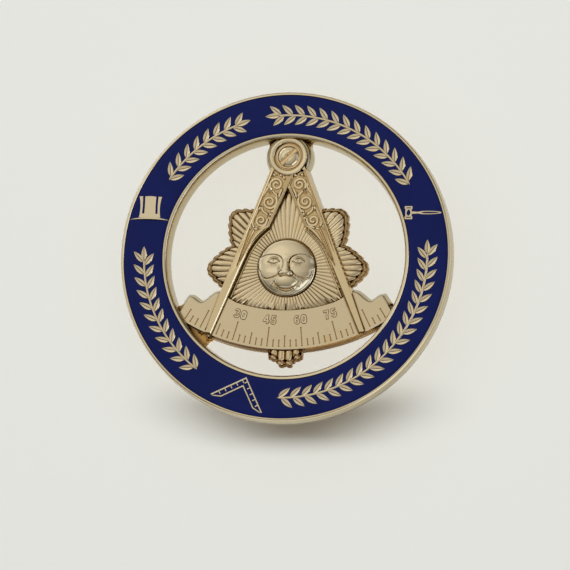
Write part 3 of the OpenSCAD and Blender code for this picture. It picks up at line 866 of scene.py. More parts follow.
def quadrant():
    """The scale plate with its cut marks and the hollows for its numbers."""
    bm = new_shape()
    step, edge = NUMBER_STEP / 6, 0.025
    ticks = []
    for i in range(-18, 19):
        if abs(i) == 13:  # a leg hides this mark
            continue
        n = abs(i) % 6
        # the longest marks stand at the numbers, the next halfway between them
        length = 1.48 if n == 3 else 0.9 if n == 0 else 0.56
        ticks.append(tick(14.62, length, i * step))
    pockets = [moat for _, _, moat in numbers()]
    outline = quadrant_outline()
    base = grown(outline, 0.08)
    faces, corners = filled(bm, [base] + ticks + pockets, SCALE_LOW)
    cuts = [bm.faces.new(c) for c in corners[1:]]
    flat = [tuple(q) for loop in ticks + pockets for q in loop]
    top = lifted(bm, faces + cuts, [(base + flat, SCALE_LOW), (outline + flat, SCALE_Z - edge)])
    sides = {len(ticks[0])} | {len(q) for q in pockets}
    marks = [f for f in top if len(f.verts) in sides]
    soften(bm, top, SCALE_Z, edge)
    bm.normal_update()
    for f in marks:
        is_tick = len(f.verts) == len(ticks[0])
        bmesh.ops.inset_individual(bm, faces=[f], thickness=0.02 if is_tick else 0.01, depth=0, use_even_offset=True)
        set_z([f], SCALE_Z - (0.055 if is_tick else 0.045))
        f.material_index = 1
    warm_walls(bm, 2, 3)
    return finish_piece("quadrant", bm, [satin, etched, red_edge_shade, orange_edge_shade], "gilt_metal", "quadrant")


# Each figure's outline, and its eye where it has one
FIGURES = {
    "0": ([(0.13, 0.3), (0.205, 0.2), (0.225, 0.0), (0.205, -0.2), (0.13, -0.3), (0.0, -0.33), (-0.13, -0.3),
           (-0.205, -0.2), (-0.225, 0.0), (-0.205, 0.2), (-0.13, 0.3), (0.0, 0.33)],
          [(0.0, 0.19), (-0.06, 0.14), (-0.085, 0.0), (-0.06, -0.14), (0.0, -0.19), (0.06, -0.14),
           (0.085, 0.0), (0.06, 0.14)]),
    "3": ([(-0.2, 0.2), (-0.1, 0.31), (0.04, 0.33), (0.17, 0.28), (0.21, 0.16), (0.17, 0.05), (0.09, 0.0),
           (0.19, -0.06), (0.23, -0.18), (0.17, -0.29), (0.03, -0.335), (-0.12, -0.31), (-0.22, -0.2),
           (-0.09, -0.15), (-0.03, -0.2), (0.05, -0.2), (0.09, -0.15), (0.06, -0.08), (-0.05, -0.055),
           (-0.05, 0.06), (0.04, 0.08), (0.07, 0.14), (0.03, 0.2), (-0.03, 0.2), (-0.08, 0.15)], None),
    "4": ([(0.04, 0.32), (0.15, 0.32), (0.15, -0.06), (0.23, -0.06), (0.23, -0.18), (0.15, -0.18),
           (0.15, -0.32), (0.02, -0.32), (0.02, -0.18), (-0.23, -0.18), (-0.23, -0.06)],
          [(0.02, 0.1), (-0.09, -0.06), (0.02, -0.06)]),
    "5": ([(0.18, 0.32), (0.18, 0.2), (-0.03, 0.2), (-0.045, 0.1), (0.07, 0.11), (0.19, 0.04), (0.22, -0.1),
           (0.17, -0.26), (0.02, -0.335), (-0.12, -0.31), (-0.21, -0.2), (-0.09, -0.15), (-0.03, -0.21),
           (0.05, -0.19), (0.085, -0.1), (0.05, -0.02), (-0.03, 0.0), (-0.09, -0.03), (-0.19, -0.01),
           (-0.14, 0.32)], None),
    "6": ([(0.17, 0.28), (0.11, 0.18), (0.02, 0.2), (-0.06, 0.13), (-0.075, 0.06), (0.04, 0.1), (0.17, 0.04),
           (0.225, -0.11), (0.17, -0.27), (0.02, -0.335), (-0.13, -0.28), (-0.21, -0.13), (-0.21, 0.06),
           (-0.14, 0.23), (0.0, 0.32)],
          [(0.02, 0.0), (-0.05, -0.03), (-0.08, -0.12), (-0.04, -0.2), (0.03, -0.22), (0.09, -0.17),
           (0.095, -0.08)]),
    "7": ([(-0.2, 0.32), (-0.2, 0.2), (0.05, 0.2), (-0.05, 0.02), (-0.11, -0.32), (0.03, -0.32),
           (0.08, -0.02), (0.21, 0.21), (0.21, 0.32)], None),
}


def on_scale(points, number, figure):
    """Lays a figure's outline on the scale, as the first or second figure of a number."""
    points = placed([(x * 0.96, y * 1.05) for x, y in points], (-0.27 + 0.54 * figure, -12.56), 0)
    return placed(points, HINGE, (number - 1.5) * NUMBER_STEP)


def numbers():
    """30, 45, 60 and 75 along the scale: for each figure its outline, its eye and the hollow round it."""
    out = []
    for i, number in enumerate(["30", "45", "60", "75"]):
        for j, figure in enumerate(number):
            rim, eye = FIGURES[figure]
            rim = on_scale(rim, i, j)
            rim = rim if area(rim) > 0 else rim[::-1]
            out.append((grown(rim, -0.008), on_scale(eye, i, j) if eye else None, grown(rim, 0.036)))
    return out


def scale_numbers():
    """The raised figures of the scale, each in its hollow."""
    bm = new_shape()
    for rim, eye, _ in numbers():
        low, high = SCALE_Z - 0.09, SCALE_Z + 0.03
        if eye:
            frame_plate(bm, rim, eye, low, high, 0.02)
            plate(bm, grown(eye, -0.03), low, SCALE_Z, 0.0, 0.01)
        else:
            plate(bm, rim, low, high, 0.0, 0.02)
    return finish_piece("scale_numbers", bm, polished, "gilt_metal", "quadrant")


def leg_inner(steps=12):
    """The curved inner edge where the leg narrows."""
    p0, p1, p2 = Vector((1.385, 2.32)), Vector((2.519, 1.496)), Vector((3.09, 0.218))
    return [tuple(p0 * (1 - t) ** 2 + p1 * 2 * t * (1 - t) + p2 * t * t)
            for t in [i / steps for i in range(steps + 1)]]


LEG_FOOT = [(5.66, -5.90), (6.12, -5.73)]


def leg_outer(y):
    """Right edge of the right leg's top."""
    return 1.43 + 0.388 * (6.6 - y) if y > -2.2 else 4.844 + 0.353 * (-2.2 - y)


def leg_outline(over=False):
    """Top of the right leg, from the hinge and the apex down its inner edge and back up.

    The leg that lies on top reaches past the apex."""
    head = arc(HINGE, 1.26, -22, -116 if over else -64, 12)
    outer = [(leg_outer(y), y) for y in (-2.2, 2.0, 6.6)]
    return head + [(0.0, 5.365)] + leg_inner() + LEG_FOOT + outer


def leg_walls(outline, outside, inside=0.0, above=None):
    """The leg's outline with its outer and inner edges moved outwards by so much.

    above is for the inner edge's upper part."""
    moved = zip(outline, grown(outline, outside), grown(outline, inside),
                grown(outline, inside if above is None else above))
    return [a if q[0] > leg_outer(q[1]) - 0.2 else c if q[1] > 2.25 else b for q, a, b, c in moved]


def leg_recess(over=False):
    """The sunk panel of the leg's upper part, which tapers into the hollow below it."""
    head = [(0.50, 6.45), (0.138, 5.545)]
    if over:
        head = [(-0.235, 6.36), (0.182, 5.448)]
    inner = [(1.567, 2.403), (1.80, 2.27), (2.08, 2.08), (2.36, 1.80), (2.62, 1.40), (2.86, 0.88), (3.10, 0.36),
             (3.38, -0.12), (3.68, -0.62)]
    tip = [(3.78, -0.76), (3.79, -0.6)]
    outer = [(3.62, -0.1), (3.49, 0.32), (3.25, 1.0), (2.94, 2.0), (1.10, 6.74), (0.85, 6.6)]
    return head + inner + tip + outer


PANEL_DEEP = 0.14
LEG_LOW = 0.7
LEG_EDGE = 0.015
# the legs' ground, strip and inner wall carry painted shade, and the scrolls a painted highlight
LEG_FINISHES = [leg_gold, stippled, strip_shade_gold, shade_wall, scroll_highlight_gold]
GROUND, STRIP, DARK, SCROLL = 1, 2, 3, 4


def one_leg(bm, over=False):
    """A leg with its sunk panel, borders, rib and milled strip; over is the leg that lies on top."""
    outline, recess = leg_outline(over), leg_recess(over)
    base = leg_walls(outline, 0.06, 0.08 if over else 0.0)
    bevelled = leg_walls(outline, -0.02, -0.105, -0.02)
    faces, corners = filled(bm, [base, recess], LEG_LOW)
    sunk = bm.faces.new(corners[1])
    flat = list(recess)
    top = lifted(bm, faces + [sunk], [(base + flat, LEG_LOW), (base + flat, SCALE_Z + 0.01),
                                      (outline + flat, LEG_Z - 0.12), (bevelled + flat, LEG_Z - LEG_EDGE)])
    floor = [f for f in top if len(f.verts) == len(recess)]
    soften(bm, top, LEG_Z, LEG_EDGE)
    bm.normal_update()
    bmesh.ops.inset_region(bm, faces=floor, thickness=0.03, depth=0, use_boundary=True, use_even_offset=True)
    set_z(floor, LEG_Z - PANEL_DEEP)
    # the sunk ground is painted darker: painted shade over a punched texture
    for f in floor:
        f.material_index = GROUND
    # thin raised lines on the borders
    outer = [(leg_outer(y) - 0.185, y) for y in (6.7, 6.3, 5.5, 4.5, 3.5, 2.5, 1.8, 1.0, 0.2)]
    bead(bm, outer, 0.055, 0.075, LEG_Z - 0.005, widths=[0.8] + [1] * 6 + [0.7, 0])
    inner = ([(-0.42, 6.5), (0.09, 5.41)] if over else [(0.13, 5.32)]) + [(1.475, 2.36)]
    bead(bm, curve_through(inner, 4) if over else inner, 0.048, 0.05, LEG_Z - 0.005,
         widths=[0.8] + [1] * (7 if over else 0) + [0.8])
    # slender rib in the hollow
    rib = curve_through([(2.42, 2.3), (2.62, 1.95), (2.85, 1.45), (3.1, 0.85), (3.34, 0.25), (3.6, -0.35)], 3)
    n = len(rib)
    widths = [0.0, 0.6] + [1.0 - 0.6 * i / n for i in range(n - 3)] + [0.0]
    bead(bm, rib, 0.085, 0.12, LEG_Z - PANEL_DEEP, widths=widths)
    # milled strip along the inner edge, one level lower
    edge = [(1.44, 2.25)] + leg_inner()[1:] + [(3.6, -1.0), (4.24, -2.55), (4.45, -3.05)]
    strip = walk([(x - 0.168, y - 0.066) for x, y in edge], 0.075)
    n = len(strip)
    before = set(bm.faces)
    bead(bm, strip, 0.08, 0.06, 0.72, widths=[0, 0.6] + [1.0 if i % 2 else 0.75 for i in range(n - 4)] + [0.9, 0])
    if not over:
        return
    # only the left leg's inner side shows: its milled strip and inner wall get painted shade
    for f in set(bm.faces) - before:
        f.material_index = STRIP
    bm.normal_update()
    for f in bm.faces:
        c = f.calc_center_median()
        if abs(f.normal.z) < 0.5 and LEG_LOW < c.z < LEG_Z - 0.11 and c.x < leg_outer(c.y) - 0.3:
            f.material_index = DARK


def feet_lowered(bm):
    """The legs run out nearly flush with the quadrant."""
    for v in bm.verts:
        if v.co.z > SCALE_Z + 0.05:
            v.co.z -= 0.11 * smoothstep((-0.6 - v.co.y) / 4.8)


def walk(points, step):
    """Points at equal steps along a line."""
    out, left = [tuple(points[0])], step
    for a, b in zip(points, points[1:]):
        a, b = Vector(a), Vector(b)
        length, at = (b - a).length, 0.0
        while at + left <= length:
            at += left
            left = step
            out.append(tuple(a + (b - a) * at / length))
        left -= length - at
    return out


def spiral(centre, r_out, r_in, start, turns, points):
    """A line that winds inwards."""
    return [polar(r_out + (r_in - r_out) * (i / points) ** 0.9, start + 360 * turns * i / points, centre)
            for i in range(points + 1)]


RIBBON = [(-1.0, -0.5), (-1.0, 0.6), (-0.9, 0.9), (-0.68, 1.0), (0.68, 1.0), (0.9, 0.9), (1.0, 0.6), (1.0, -0.5)]


def scrolls(bm):
    """Linked scrolls with curls and dots on the sunk panel of the right leg."""
    z = LEG_Z - PANEL_DEEP
    high = PANEL_DEEP + 0.005
    before = set(bm.faces)
    whorls = [((0.88, 5.6), 0.55, -50, 1.6), ((1.38, 4.26), 0.60, 140, 1.7), ((2.0, 2.83), 0.50, 150, 1.5)]
    for centre, r, start, turns in whorls:
        n = int(26 * turns)
        path = spiral(centre, r, 0.1, start, turns, n)
        widths = [0.5] + [1.0 - 0.1 * i / n for i in range(n - 1)] + [0.8]
        bead(bm, path, 0.094, high, z, section=RIBBON, widths=widths)
        knob(bm, polar(0.08, start + 360 * turns, centre), 0.085, high, z)
    strands = [[(1.2, 5.18), (1.10, 5.02), (0.98, 4.9), (0.85, 4.75), (0.82, 4.55)],
               [(1.26, 6.5), (1.45, 6.15), (1.53, 5.75), (1.5, 5.4), (1.66, 5.1), (1.84, 4.85), (2.02, 4.55)],
               [(1.9, 3.98), (1.95, 3.75), (1.84, 3.52), (1.62, 3.36), (1.5, 3.15)],
               [(2.2, 3.9), (2.28, 3.65), (2.38, 3.38), (2.52, 3.1), (2.62, 2.8), (2.62, 2.5), (2.50, 2.25)],
               [(0.86, 4.05), (0.92, 3.8), (1.1, 3.55), (1.36, 3.47)],
               [(1.56, 2.62), (1.70, 2.42), (1.95, 2.27), (2.2, 2.2)],
               [(0.40, 5.35), (0.52, 5.08), (0.62, 4.85), (0.68, 4.62)]]
    for strand in strands:
        path = curve_through(strand, 4)
        n = len(path)
        bead(bm, path, 0.080, high - 0.01, z, section=RIBBON, widths=[0.1, 0.6] + [1] * (n - 4) + [0.6, 0.1])
    curls = [((0.42, 6.2), 20, 0.11), ((1.66, 5.5), 250, 0.10), ((1.36, 5.02), 60, 0.12), ((0.62, 5.02), 100, 0.07),
             ((2.2, 4.35), 240, 0.08), ((1.3, 3.28), 80, 0.10), ((2.47, 3.62), 240, 0.08), ((2.78, 2.55), 230, 0.09),
             ((2.12, 3.7), 200, 0.08), ((0.95, 3.72), 60, 0.07)]
    for at, turn, r in curls:
        path = placed(arc((0, 0), r, 0, 250, 12), at, turn)
        bead(bm, path, 0.042, high - 0.04, z, widths=[0.1, 0.7] + [1] * 9 + [0.6, 0.1])
    drops = [[(1.52, 5.42), (1.62, 5.22), (1.58, 4.98)], [(1.74, 5.36), (1.84, 5.12), (1.80, 4.88)],
             [(0.46, 5.12), (0.60, 4.98), (0.76, 5.0)], [(0.52, 4.84), (0.64, 4.7), (0.66, 4.5)],
             [(2.02, 4.0), (2.12, 3.76), (2.06, 3.52)], [(2.22, 4.1), (2.32, 3.8), (2.26, 3.55)],
             [(2.46, 3.55), (2.56, 3.3), (2.54, 3.05)], [(0.98, 3.66), (1.16, 3.54), (1.34, 3.6)],
             [(1.12, 3.42), (1.28, 3.3), (1.46, 3.34)], [(1.28, 3.14), (1.38, 2.98), (1.42, 2.8)],
             [(0.18, 5.95), (0.32, 6.12), (0.32, 6.35)], [(0.42, 6.4), (0.58, 6.3), (0.72, 6.4)],
             [(0.92, 6.32), (1.08, 6.36), (1.1, 6.55)], [(2.15, 2.28), (2.38, 2.18), (2.55, 2.3)],
             [(2.68, 2.55), (2.8, 2.34), (2.78, 2.1)], [(1.62, 2.36), (1.8, 2.34), (1.9, 2.24)]]
    for drop in drops:
        bead(bm, curve_through(drop, 4), 0.085, high - 0.02, z, section=RIBBON,
             widths=[0.0, 0.5, 0.8, 0.95, 1.0, 0.9, 0.7, 0.4, 0.0])
    dots(bm, whorls, high, z)
    # the scrolls' tops get a painted highlight
    for f in set(bm.faces) - before:
        f.material_index = SCROLL


def dots(bm, whorls, high, z):
    """Small domed dots that fill the ground between the scrolls."""
    chance, found = random.Random(5), []
    for _ in range(4000):
        y = chance.uniform(2.5, 6.5)
        left = 0.138 + ((5.545 - y) * 0.455 if y < 5.545 else (y - 5.545) * 0.4)
        x = chance.uniform(left + 0.08, 1.10 + (6.74 - y) * 0.388 - 0.08)
        if (all(math.hypot(x - c[0], y - c[1]) > r + 0.15 for c, r, _, _ in whorls)
                and all(math.hypot(x - a, y - b) > 0.19 for a, b in found)):
            found.append((x, y))
            knob(bm, (x, y), chance.uniform(0.055, 0.07), high - 0.01, z, 8)


def add_mesh(bm, other):
    """Joins another mesh to this one."""
    mesh = bpy.data.meshes.new("part")
    other.to_mesh(mesh)
    other.free()
    bm.from_mesh(mesh)
    bpy.data.meshes.remove(mesh)


def mirrored(bm):
    """Turns the whole shape into its mirror image."""
    for v in bm.verts:
        v.co.x = -v.co.x
    bmesh.ops.reverse_faces(bm, faces=bm.faces)


def compasses():
    """Both legs, and the points at their feet."""
    bm = new_shape()
    one_leg(bm)
    scrolls(bm)
    left = new_shape()
    one_leg(left, over=True)
    scrolls(left)
    mirrored(left)
    add_mesh(bm, left)
    feet_lowered(bm)
    for s in (-1, 1):
        knob(bm, (5.92 * s, -5.88), 0.14, 0.2, 0.45, 16)
    return finish_piece("compass_legs", bm, LEG_FINISHES, "gilt_metal", "compasses",
                        sharp=20)


def hinge():
    """The round moulding that frames the screw."""
    bm = new_shape()
    profile = [(0, 0.72), (1.475, 0.72), (1.475, 1.04), (1.468, 1.12), (1.45, 1.17), (1.42, 1.2), (1.385, 1.213),
               (1.34, 1.215), (1.17, 1.215), (1.125, 1.203), (1.09, 1.165), (1.07, 1.10), (1.06, 1.0), (1.055, 0.93),
               (0, 0.93)]
    turned(bm, profile, 128, HINGE, closed=False)
    for f in bm.faces:
        c, r, turn = from_centre(f, HINGE_Y)
        if c.z > 0.9 and r < 1.055:
            f.material_index = 1
        elif c.z > 0.8 and (abs(turn + 35) < 500 * (r - 1.375) or r > 1.056 and abs(turn - 141) < 600 * (1.125 - r)):
            # painted shade under the edge at the lower right, and inside it at the upper left
            f.material_index = 2
    return finish_piece("hinge_moulding", bm, [bright, warm_gold, shade_wall], "gilt_metal", "compasses", sharp=50)


def pivot_screw():
    """The domed head with its slot, in a moat."""
    bm = new_shape()
    profile = [(0, 0.6), (0.36, 0.6), (0.36, 0.94), (0.93, 0.94), (0.94, 1.0), (0.925, 1.035), (0.88, 1.04),
               (0.83, 1.03), (0.815, 1.04), (0.79, 1.085), (0.73, 1.125), (0.65, 1.158), (0.57, 1.183), (0.45, 1.203),
               (0.3, 1.213), (0.15, 1.218), (0, 1.22)]
    turned(bm, profile, 128, HINGE, closed=False)
    bmesh.ops.remove_doubles(bm, verts=bm.verts, dist=1e-4)
    bmesh.ops.recalc_face_normals(bm, faces=bm.faces)
    across = Vector((*polar(1, 134), 0))
    centre = Vector((*HINGE, 0))
    # half the widths of the slot's floor, of its top and of the strip that leans towards it
    floor_half, top_half, strip_half = 0.14, 0.165, 0.26
    for offset in (-strip_half, -top_half, -floor_half, floor_half, top_half, strip_half):
        bmesh.ops.bisect_plane(bm, geom=bm.verts[:] + bm.edges[:] + bm.faces[:], dist=1e-5,
                               plane_co=centre + across * offset, plane_no=across)
    slot_z = 0.985
    for v in bm.verts:
        off = abs((v.co - centre).dot(across))
        r = (v.co - centre).to_2d().length
        if v.co.z > slot_z and r < 0.8 and off < top_half + 0.001:
            v.co.z = slot_z if off < floor_half + 0.001 else v.co.z - 0.045
    for f in bm.faces:
        c, r, _ = from_centre(f, HINGE_Y)
        if r > 0.81 or 0.94 < c.z < 1.0 and r < 0.9:
            f.material_index = 1
    return finish_piece("pivot_screw", bm, [bright, warm_gold], "gilt_metal", "pivot_screw", sharp=35)


# ------------------------------------------------------------------ sun face

def oval(x, y, cx, cy, rx, ry):
    """How far out a point lies in an oval, squared: 0 in its middle and 1 on its rim."""
    u, v = (x - cx) / rx, (y - cy) / ry
    return u * u + v * v


def hill(*point_and_oval):
    """A smooth bump that fades outwards."""
    return math.exp(-oval(*point_and_oval))


def dome(*point_and_oval):
    """A rounded boss with a definite foot."""
    return math.sqrt(max(0.0, 1 - oval(*point_and_oval)))


def along(x, y, line, width):
    """How near the point is to a line: 1 on it, falling off over its width."""
    p = Vector((x, y))
    best = 1e9
    for a, b in zip(line, line[1:]):
        a, b = Vector(a), Vector(b)
        d = b - a
        t = max(0.0, min(1.0, (p - a).dot(d) / d.length_squared))
        best = min(best, (p - a - d * t).length)
    return math.exp(-(best / width) ** 2)


def between(table, t):
    """A smooth value read from a table of (place, value)."""
    if t <= table[0][0]:
        return table[0][1]
    for (a, va), (b, vb) in zip(table, table[1:]):
        if t <= b:
            k = smoothstep((t - a) / (b - a))
            return va + (vb - va) * (0.5 * k + 0.5 * (t - a) / (b - a))
    return table[-1][1]


BROW = curve_through([(2.05, 0.70), (1.65, 0.90), (1.2, 0.97), (0.8, 0.94), (0.5, 0.83), (0.31, 0.64), (0.235, 0.36),
                      (0.255, 0.02), (0.335, -0.24), (0.49, -0.37), (0.565, -0.5), (0.52, -0.64)], 3)
NOSE_HALF = [(-0.66, 0.46), (-0.6, 0.53), (-0.5, 0.565), (-0.38, 0.49), (-0.24, 0.335), (0.02, 0.255), (0.36, 0.235),
             (0.64, 0.31), (0.83, 0.5), (0.9, 0.62)]
NOSE_TIP = [(-0.70, 0.0), (-0.62, 0.10), (-0.45, 0.13), (-0.15, 0.11), (0.3, 0.075), (0.75, 0.02), (1.1, 0.0)]
BROW_Y = [(0.4, 0.80), (0.62, 0.88), (0.8, 0.94), (1.2, 0.97), (1.65, 0.90), (2.05, 0.70), (2.3, 0.5)]
CHEEK_LOW = [(0.5, -0.36), (0.62, -0.52), (0.8, -0.66), (1.1, -0.78), (1.45, -0.85), (1.7, -0.80), (1.85, -0.62),
             (1.96, -0.28), (2.3, 0.2)]
LID_UP = curve_through([(0.50, 0.43), (0.68, 0.58), (0.95, 0.655), (1.22, 0.58), (1.42, 0.42)], 3)
LID_LOW = curve_through([(0.50, 0.43), (0.70, 0.33), (0.95, 0.285), (1.2, 0.32), (1.42, 0.42)], 3)
SMILE = curve_through([(-0.93, -1.10), (-0.84, -1.30), (-0.60, -1.50), (-0.3, -1.62), (0.0, -1.655), (0.3, -1.62),
                       (0.60, -1.50), (0.84, -1.30), (0.93, -1.10)], 3)


def face_height(x, y):
    """Height of the face above its rim; low relief with crisp edges, as in a struck medal."""
    rho = math.hypot(x, y) / SUN_R
    lift = 0.11 * (1 + (y - 0.35 * x) / (1.06 * SUN_R))
    ground = lift + (0.46 - lift) * max(0.0, 1 - rho ** 2.7) ** 0.68
    ax = abs(x)
    z = 0.0
    # forehead and nose stand above the eyes
    brow_y = between(BROW_Y, ax)
    over_brow = smoothstep((y - brow_y) / 0.10 + 0.5) * smoothstep((ax - 0.3) / 0.3)
    half = between(NOSE_HALF, y)
    in_nose = smoothstep((half - ax) / 0.075 + 0.5) * smoothstep((y + 0.66) / 0.07 + 0.5) if y < 1.0 else 0.0
    if y > 0.8:
        in_nose = max(in_nose, smoothstep((y - brow_y) / 0.10 + 0.5))
    z += 0.055 * max(over_brow, in_nose)
    tip = between(NOSE_TIP, y)
    z += tip * max(0.0, 1 - (ax / (half + 0.02)) ** 2 * 0.62) * in_nose
    z += 0.02 * dome(x, y, 0.0, -0.42, 0.3, 0.26) + 0.02 * dome(ax, y, 0.43, -0.50, 0.14, 0.13)
    z -= 0.035 * along(ax, y, BROW, 0.035)
    if x > 0:
        z -= 0.05 * along(x, y, BROW[9:24], 0.03) + 0.07 * along(x, y, BROW[12:19], 0.05)
    z -= 0.06 * hill(ax, y, 0.36, -0.70, 0.10, 0.05)
    # eyes
    z -= 0.03 * hill(ax, y, 0.95, 0.46, 0.62, 0.34)
    z += 0.035 * dome(ax, y, 0.96, 0.47, 0.46, 0.17)
    z -= 0.035 * along(ax, y, LID_UP, 0.028) + 0.028 * along(ax, y, LID_LOW, 0.026)
    z += 0.018 * along(ax, y, [(q[0], q[1] + 0.075) for q in LID_UP], 0.035)
    z -= 0.022 * along(ax, y, [(q[0] * 0.98, q[1] + 0.14) for q in LID_UP[2:-1]], 0.022)
    z -= 0.020 * along(ax, y, [(0.72, 0.19), (0.95, 0.155), (1.2, 0.18)], 0.024)
    z -= 0.035 * hill(ax, y, 0.95, 0.51, 0.055, 0.05)
    # cheeks, bounded by a crease
    low = between(CHEEK_LOW, ax)
    on_cheek = smoothstep((y - low) / 0.09 + 0.5)
    z += 0.075 * on_cheek * smoothstep((0.42 - y) / 0.9) * smoothstep((ax - 0.42) / 0.25)
    crease = math.exp(-((y - low + 0.05) / 0.045) ** 2)
    z -= 0.028 * crease * smoothstep((ax - 0.5) / 0.12) * smoothstep((2.08 - ax) / 0.15)
    # muzzle, smile, lips and chin
    z += 0.10 * dome(x, y, 0.0, -1.12, 0.86, 0.52)
    z -= 0.05 * along(x, y, SMILE, 0.038)
    z += 0.035 * along(x, y, [(q[0] * 0.88, q[1] - 0.105) for q in SMILE[4:-4]], 0.06)
    z -= 0.035 * along(x, y, [(q[0] * 0.80, q[1] - 0.215) for q in SMILE[5:-5]], 0.035)
    z -= 0.07 * hill(ax, y, 0.97, -1.20, 0.07, 0.10) - 0.035 * hill(ax, y, 1.08, -1.28, 0.07, 0.16)
    z += 0.03 * hill(x, y, 0.0, -1.98, 0.36, 0.10)
    z -= 0.015 * along(x, y, arc((0, 0), 2.02, 200, 340, 16), 0.03)
    return ground + 1.2 * z * smoothstep((1.0 - rho) / 0.06)


def sun_face():
    """The domed face, with its wall."""
    bm = new_shape()
    n = 190

    def place(i, j):
        """A square grid spread over the round face."""
        u, v = 2 * i / n - 1, 2 * j / n - 1
        x, y = SUN_R * u * math.sqrt(1 - v * v / 2), SUN_R * v * math.sqrt(1 - u * u / 2)
        return (x, y + SUN_Y, 0.66 + face_height(x, y))

    mapped_grid(bm, n, n, place)
    rim = [e for e in bm.edges if e.is_boundary]
    made = bmesh.ops.extrude_edge_only(bm, edges=rim)["geom"]
    for v in [g for g in made if isinstance(g, bmesh.types.BMVert)]:
        v.co.z = 0.43
    rim = [g for g in made if isinstance(g, bmesh.types.BMEdge) and g.is_boundary]
    bmesh.ops.holes_fill(bm, edges=rim, sides=0)
    bm.normal_update()
    for f in bm.faces:
        # walls at the lower right get painted shade
        if abs(f.normal.z) < 0.35 and in_dark_crescent(from_centre(f, SUN_Y)[2]):
            f.material_index = 1
    return finish_piece("sun_face", bm, [struck, shade_wall], "gilt_metal", "sun_face", sharp=60)


# --------------------------------------------------------------------- back

def post_and_clutch():
    """Turned clutch, pad and post on the back."""
    bm = new_shape()
    profile = [(0, 0), (3.15, 0), (3.35, 0.05), (3.6, 0.22), (3.78, 0.55), (3.84, 0.9), (3.84, 1.7), (3.8, 1.85),
               (3.66, 2.02), (3.54, 2.1), (3.5, 2.2), (3.5, 3.05), (3.54, 3.16), (3.7, 3.3), (3.86, 3.42),
               (3.95, 3.6), (3.985, 3.8), (3.985, 4.12), (3.93, 4.28), (3.8, 4.38), (3.6, 4.4), (2.2, 4.4),
               (2.05, 4.34), (1.9, 4.2), (1.15, 4.2), (1.05, 4.32), (0.85, 4.38), (0.6, 4.3), (0.6, 4.78),
               (0.72, 4.86), (1.0, 4.92), (1.55, 4.93), (1.66, 4.98), (1.7, 5.06), (1.7, 5.18), (0, 5.18)]
    turned(bm, [(r, height - BACK_Z) for r, height in profile], 160, closed=False)
    return finish_piece("post_and_clutch", bm, plating, "plated_back", "pin_post", sharp=40)


pin = [make() for make in (outer_rim, ring_channel, solder_lugs, enamel_band, enamel_lowest,
                           top_hat, gavel, set_square)]
pin += [sprig(*where) for where in SPRIGS]
pin += [make() for make in (sunburst, emblem_bed, quadrant, scale_numbers, compasses, hinge, pivot_screw,
                            sun_face, post_and_clutch)]


# --------------------------------------------------- table, lights, camera

def table():
    """The plain pale surface that the pin lies on."""
    bm = new_shape()
    bmesh.ops.create_grid(bm, x_segments=1, y_segments=1, size=1.5)
    mesh = bpy.data.meshes.new("table")
    bm.to_mesh(mesh)
    bm.free()
    mat, _, _, shader = new_finish("pale_table")
    shader.inputs["Base Color"].default_value = (0.88, 0.88, 0.811, 1)
    shader.inputs["Roughness"].default_value = 0.9
    shader.inputs["Specular IOR Level"].default_value = 0.1
    mesh.materials.append(mat)
    top = link("table", mesh)
    return top


WHITE = (1, 1, 1)
COOL = (0.84, 0.96, 1.22)
TABLE_LIGHT = (0.965, 0.985, 1.02)
PIN_TOP = (0, 0, 0.006)
# what the bevels and walls mirror: name, place, size, watts and colour
PANELS = [("east_strip", (0.28, -0.05, 0.08), (0.22, 0.09), 0.12, COOL),
          ("east_panel", (0.26, 0.05, 0.31), (0.2, 0.2), 0.055, COOL),
          ("south_panel", (-0.03, -0.25, 0.21), (0.26, 0.12), 0.055, COOL),
          ("low_right_panel", (0.15, -0.15, 0.25), (0.18, 0.18), 0.12, COOL),
          ("west_panel", (-0.28, 0.05, 0.17), (0.26, 0.16), 0.055, COOL),
          ("north_west_panel", (-0.26, 0.27, 0.20), (0.22, 0.16), 0.09, COOL),
          ("north_panel", (-0.075, 0.34, 0.30), (0.4, 0.16), 0.05, WHITE)]
# one large lamp overhead that dims towards its rim, in disks: width and brightness
DISK_FILL = 0.785
OVERHEAD = [(0.45, 0.22), (0.9, 0.12), (1.4, 0.12), (2.0, 0.09), (2.8, 0.07), (3.6, 0.05)]


def softbox(name, at, aim, size, power, lights, colour=WHITE, shadow_of=None, shape="RECTANGLE"):
    """A lamp with a soft face that lights the given pieces; shadow_of limits what casts its shadows."""
    light = bpy.data.lights.new(name, "AREA")
    light.shape = shape
    light.size, light.size_y = size
    light.energy = power
    light.color = colour
    obj = link(name, light)
    obj.location = at
    obj.rotation_euler = (Vector(aim) - Vector(at)).to_track_quat("-Z", "Y").to_euler()
    lit = bpy.data.collections.new(name + "_lights")
    for piece in lights:
        lit.objects.link(piece)
    obj.light_linking.receiver_collection = lit
    if shadow_of:
        casts = bpy.data.collections.new(name + "_shadow_of")
        for piece in shadow_of:
            casts.objects.link(piece)
        obj.light_linking.blocker_collection = casts


# The photo's side and its scale at the pin
PHOTO_PX = 570
PX_PER_MM = 13.22


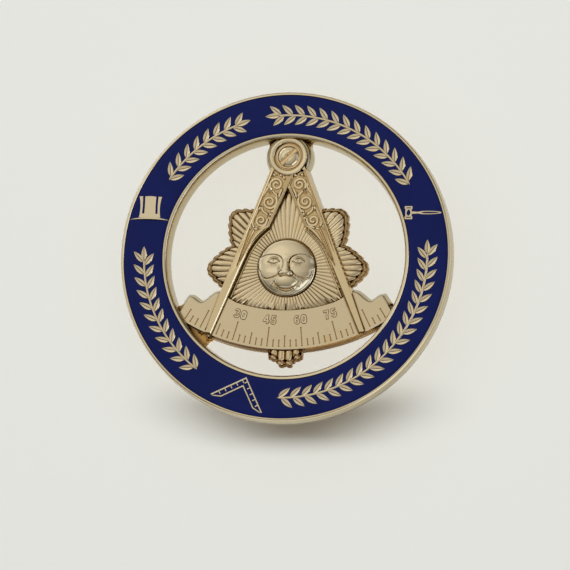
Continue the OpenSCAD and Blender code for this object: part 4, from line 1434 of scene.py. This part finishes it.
def studio(pieces, floor):
    """Two lamps for the table, the others for the pin alone, and a dim room around them."""
    world = bpy.data.worlds.new("studio")
    world.use_nodes = True
    nodes, links = world.node_tree.nodes, world.node_tree.links
    background = nodes["Background"]
    coord = nodes.new("ShaderNodeTexCoord")
    split = nodes.new("ShaderNodeSeparateXYZ")
    links.new(coord.outputs["Generated"], split.inputs[0])
    sky = ramp_node(nodes, links, split.outputs["Z"], [(0.0, (0.06, 0.058, 0.053)), (0.3, (0.08, 0.078, 0.073)),
                                                      (0.6, (0.15, 0.146, 0.137)), (0.9, (0.18, 0.175, 0.165))])
    links.new(sky.outputs["Color"], background.inputs["Color"])
    background.inputs["Strength"].default_value = 1.0
    bpy.context.scene.world = world
    lowest = [p for p in pieces if p.name == "enamel_lowest"]
    clutch = [p for p in pieces if p.name == "post_and_clutch"]
    softbox("table_key", (0.0, 0.071, 0.50), (0, 0, 0), (1.0, 0.12), 2.37, [floor], TABLE_LIGHT, lowest, "ELLIPSE")
    softbox("table_sky", (0.0, 0.03, 0.30), (0, 0, 0), (0.5, 0.5), 0.16, [floor], TABLE_LIGHT, lowest + clutch)
    # each disk lies behind the one before, and its power is its brightness times pi times the area that it fills
    for k, (across, bright_by) in enumerate(OVERHEAD):
        away = 1.0 + 0.03 * k
        softbox("overhead_%d" % k, (-0.36 * away, 0.37 * away, 1.08 * away), PIN_TOP, (across, across),
                bright_by * math.pi * DISK_FILL * across ** 2, pieces, shape="DISK")
    for name, at, size, power, colour in PANELS:
        softbox(name, at, PIN_TOP, size, power, pieces, colour)
    bpy.context.scene.view_settings.view_transform = "Standard"


def photo_camera():
    """The photo's view: from the lower right, 14 degrees off the pin's axis."""
    right = Vector((0.98612694, 0.02419526, -0.16422013))
    up = Vector((0.00528045, 0.98424666, 0.1767219))
    toward = right.cross(up)
    distance, aside, below = 0.75, 0.000021, 0.002186
    centre = Vector((0, 0, (BACK_Z + TOP_Z) * 0.001))
    aim = centre - right * aside - up * below
    cam = bpy.data.cameras.new("camera")
    cam.sensor_width = 36
    cam.lens = PX_PER_MM * 36 / PHOTO_PX * distance * 1000
    cam.clip_start, cam.clip_end = 0.05, 10
    obj = link("camera", cam)
    obj.matrix_world = Matrix.Translation(aim + toward * distance) @ Matrix((right, up, toward)).transposed().to_4x4()
    bpy.context.scene.camera = obj


studio(pin, table())
photo_camera()

bpy.context.view_layer.update()
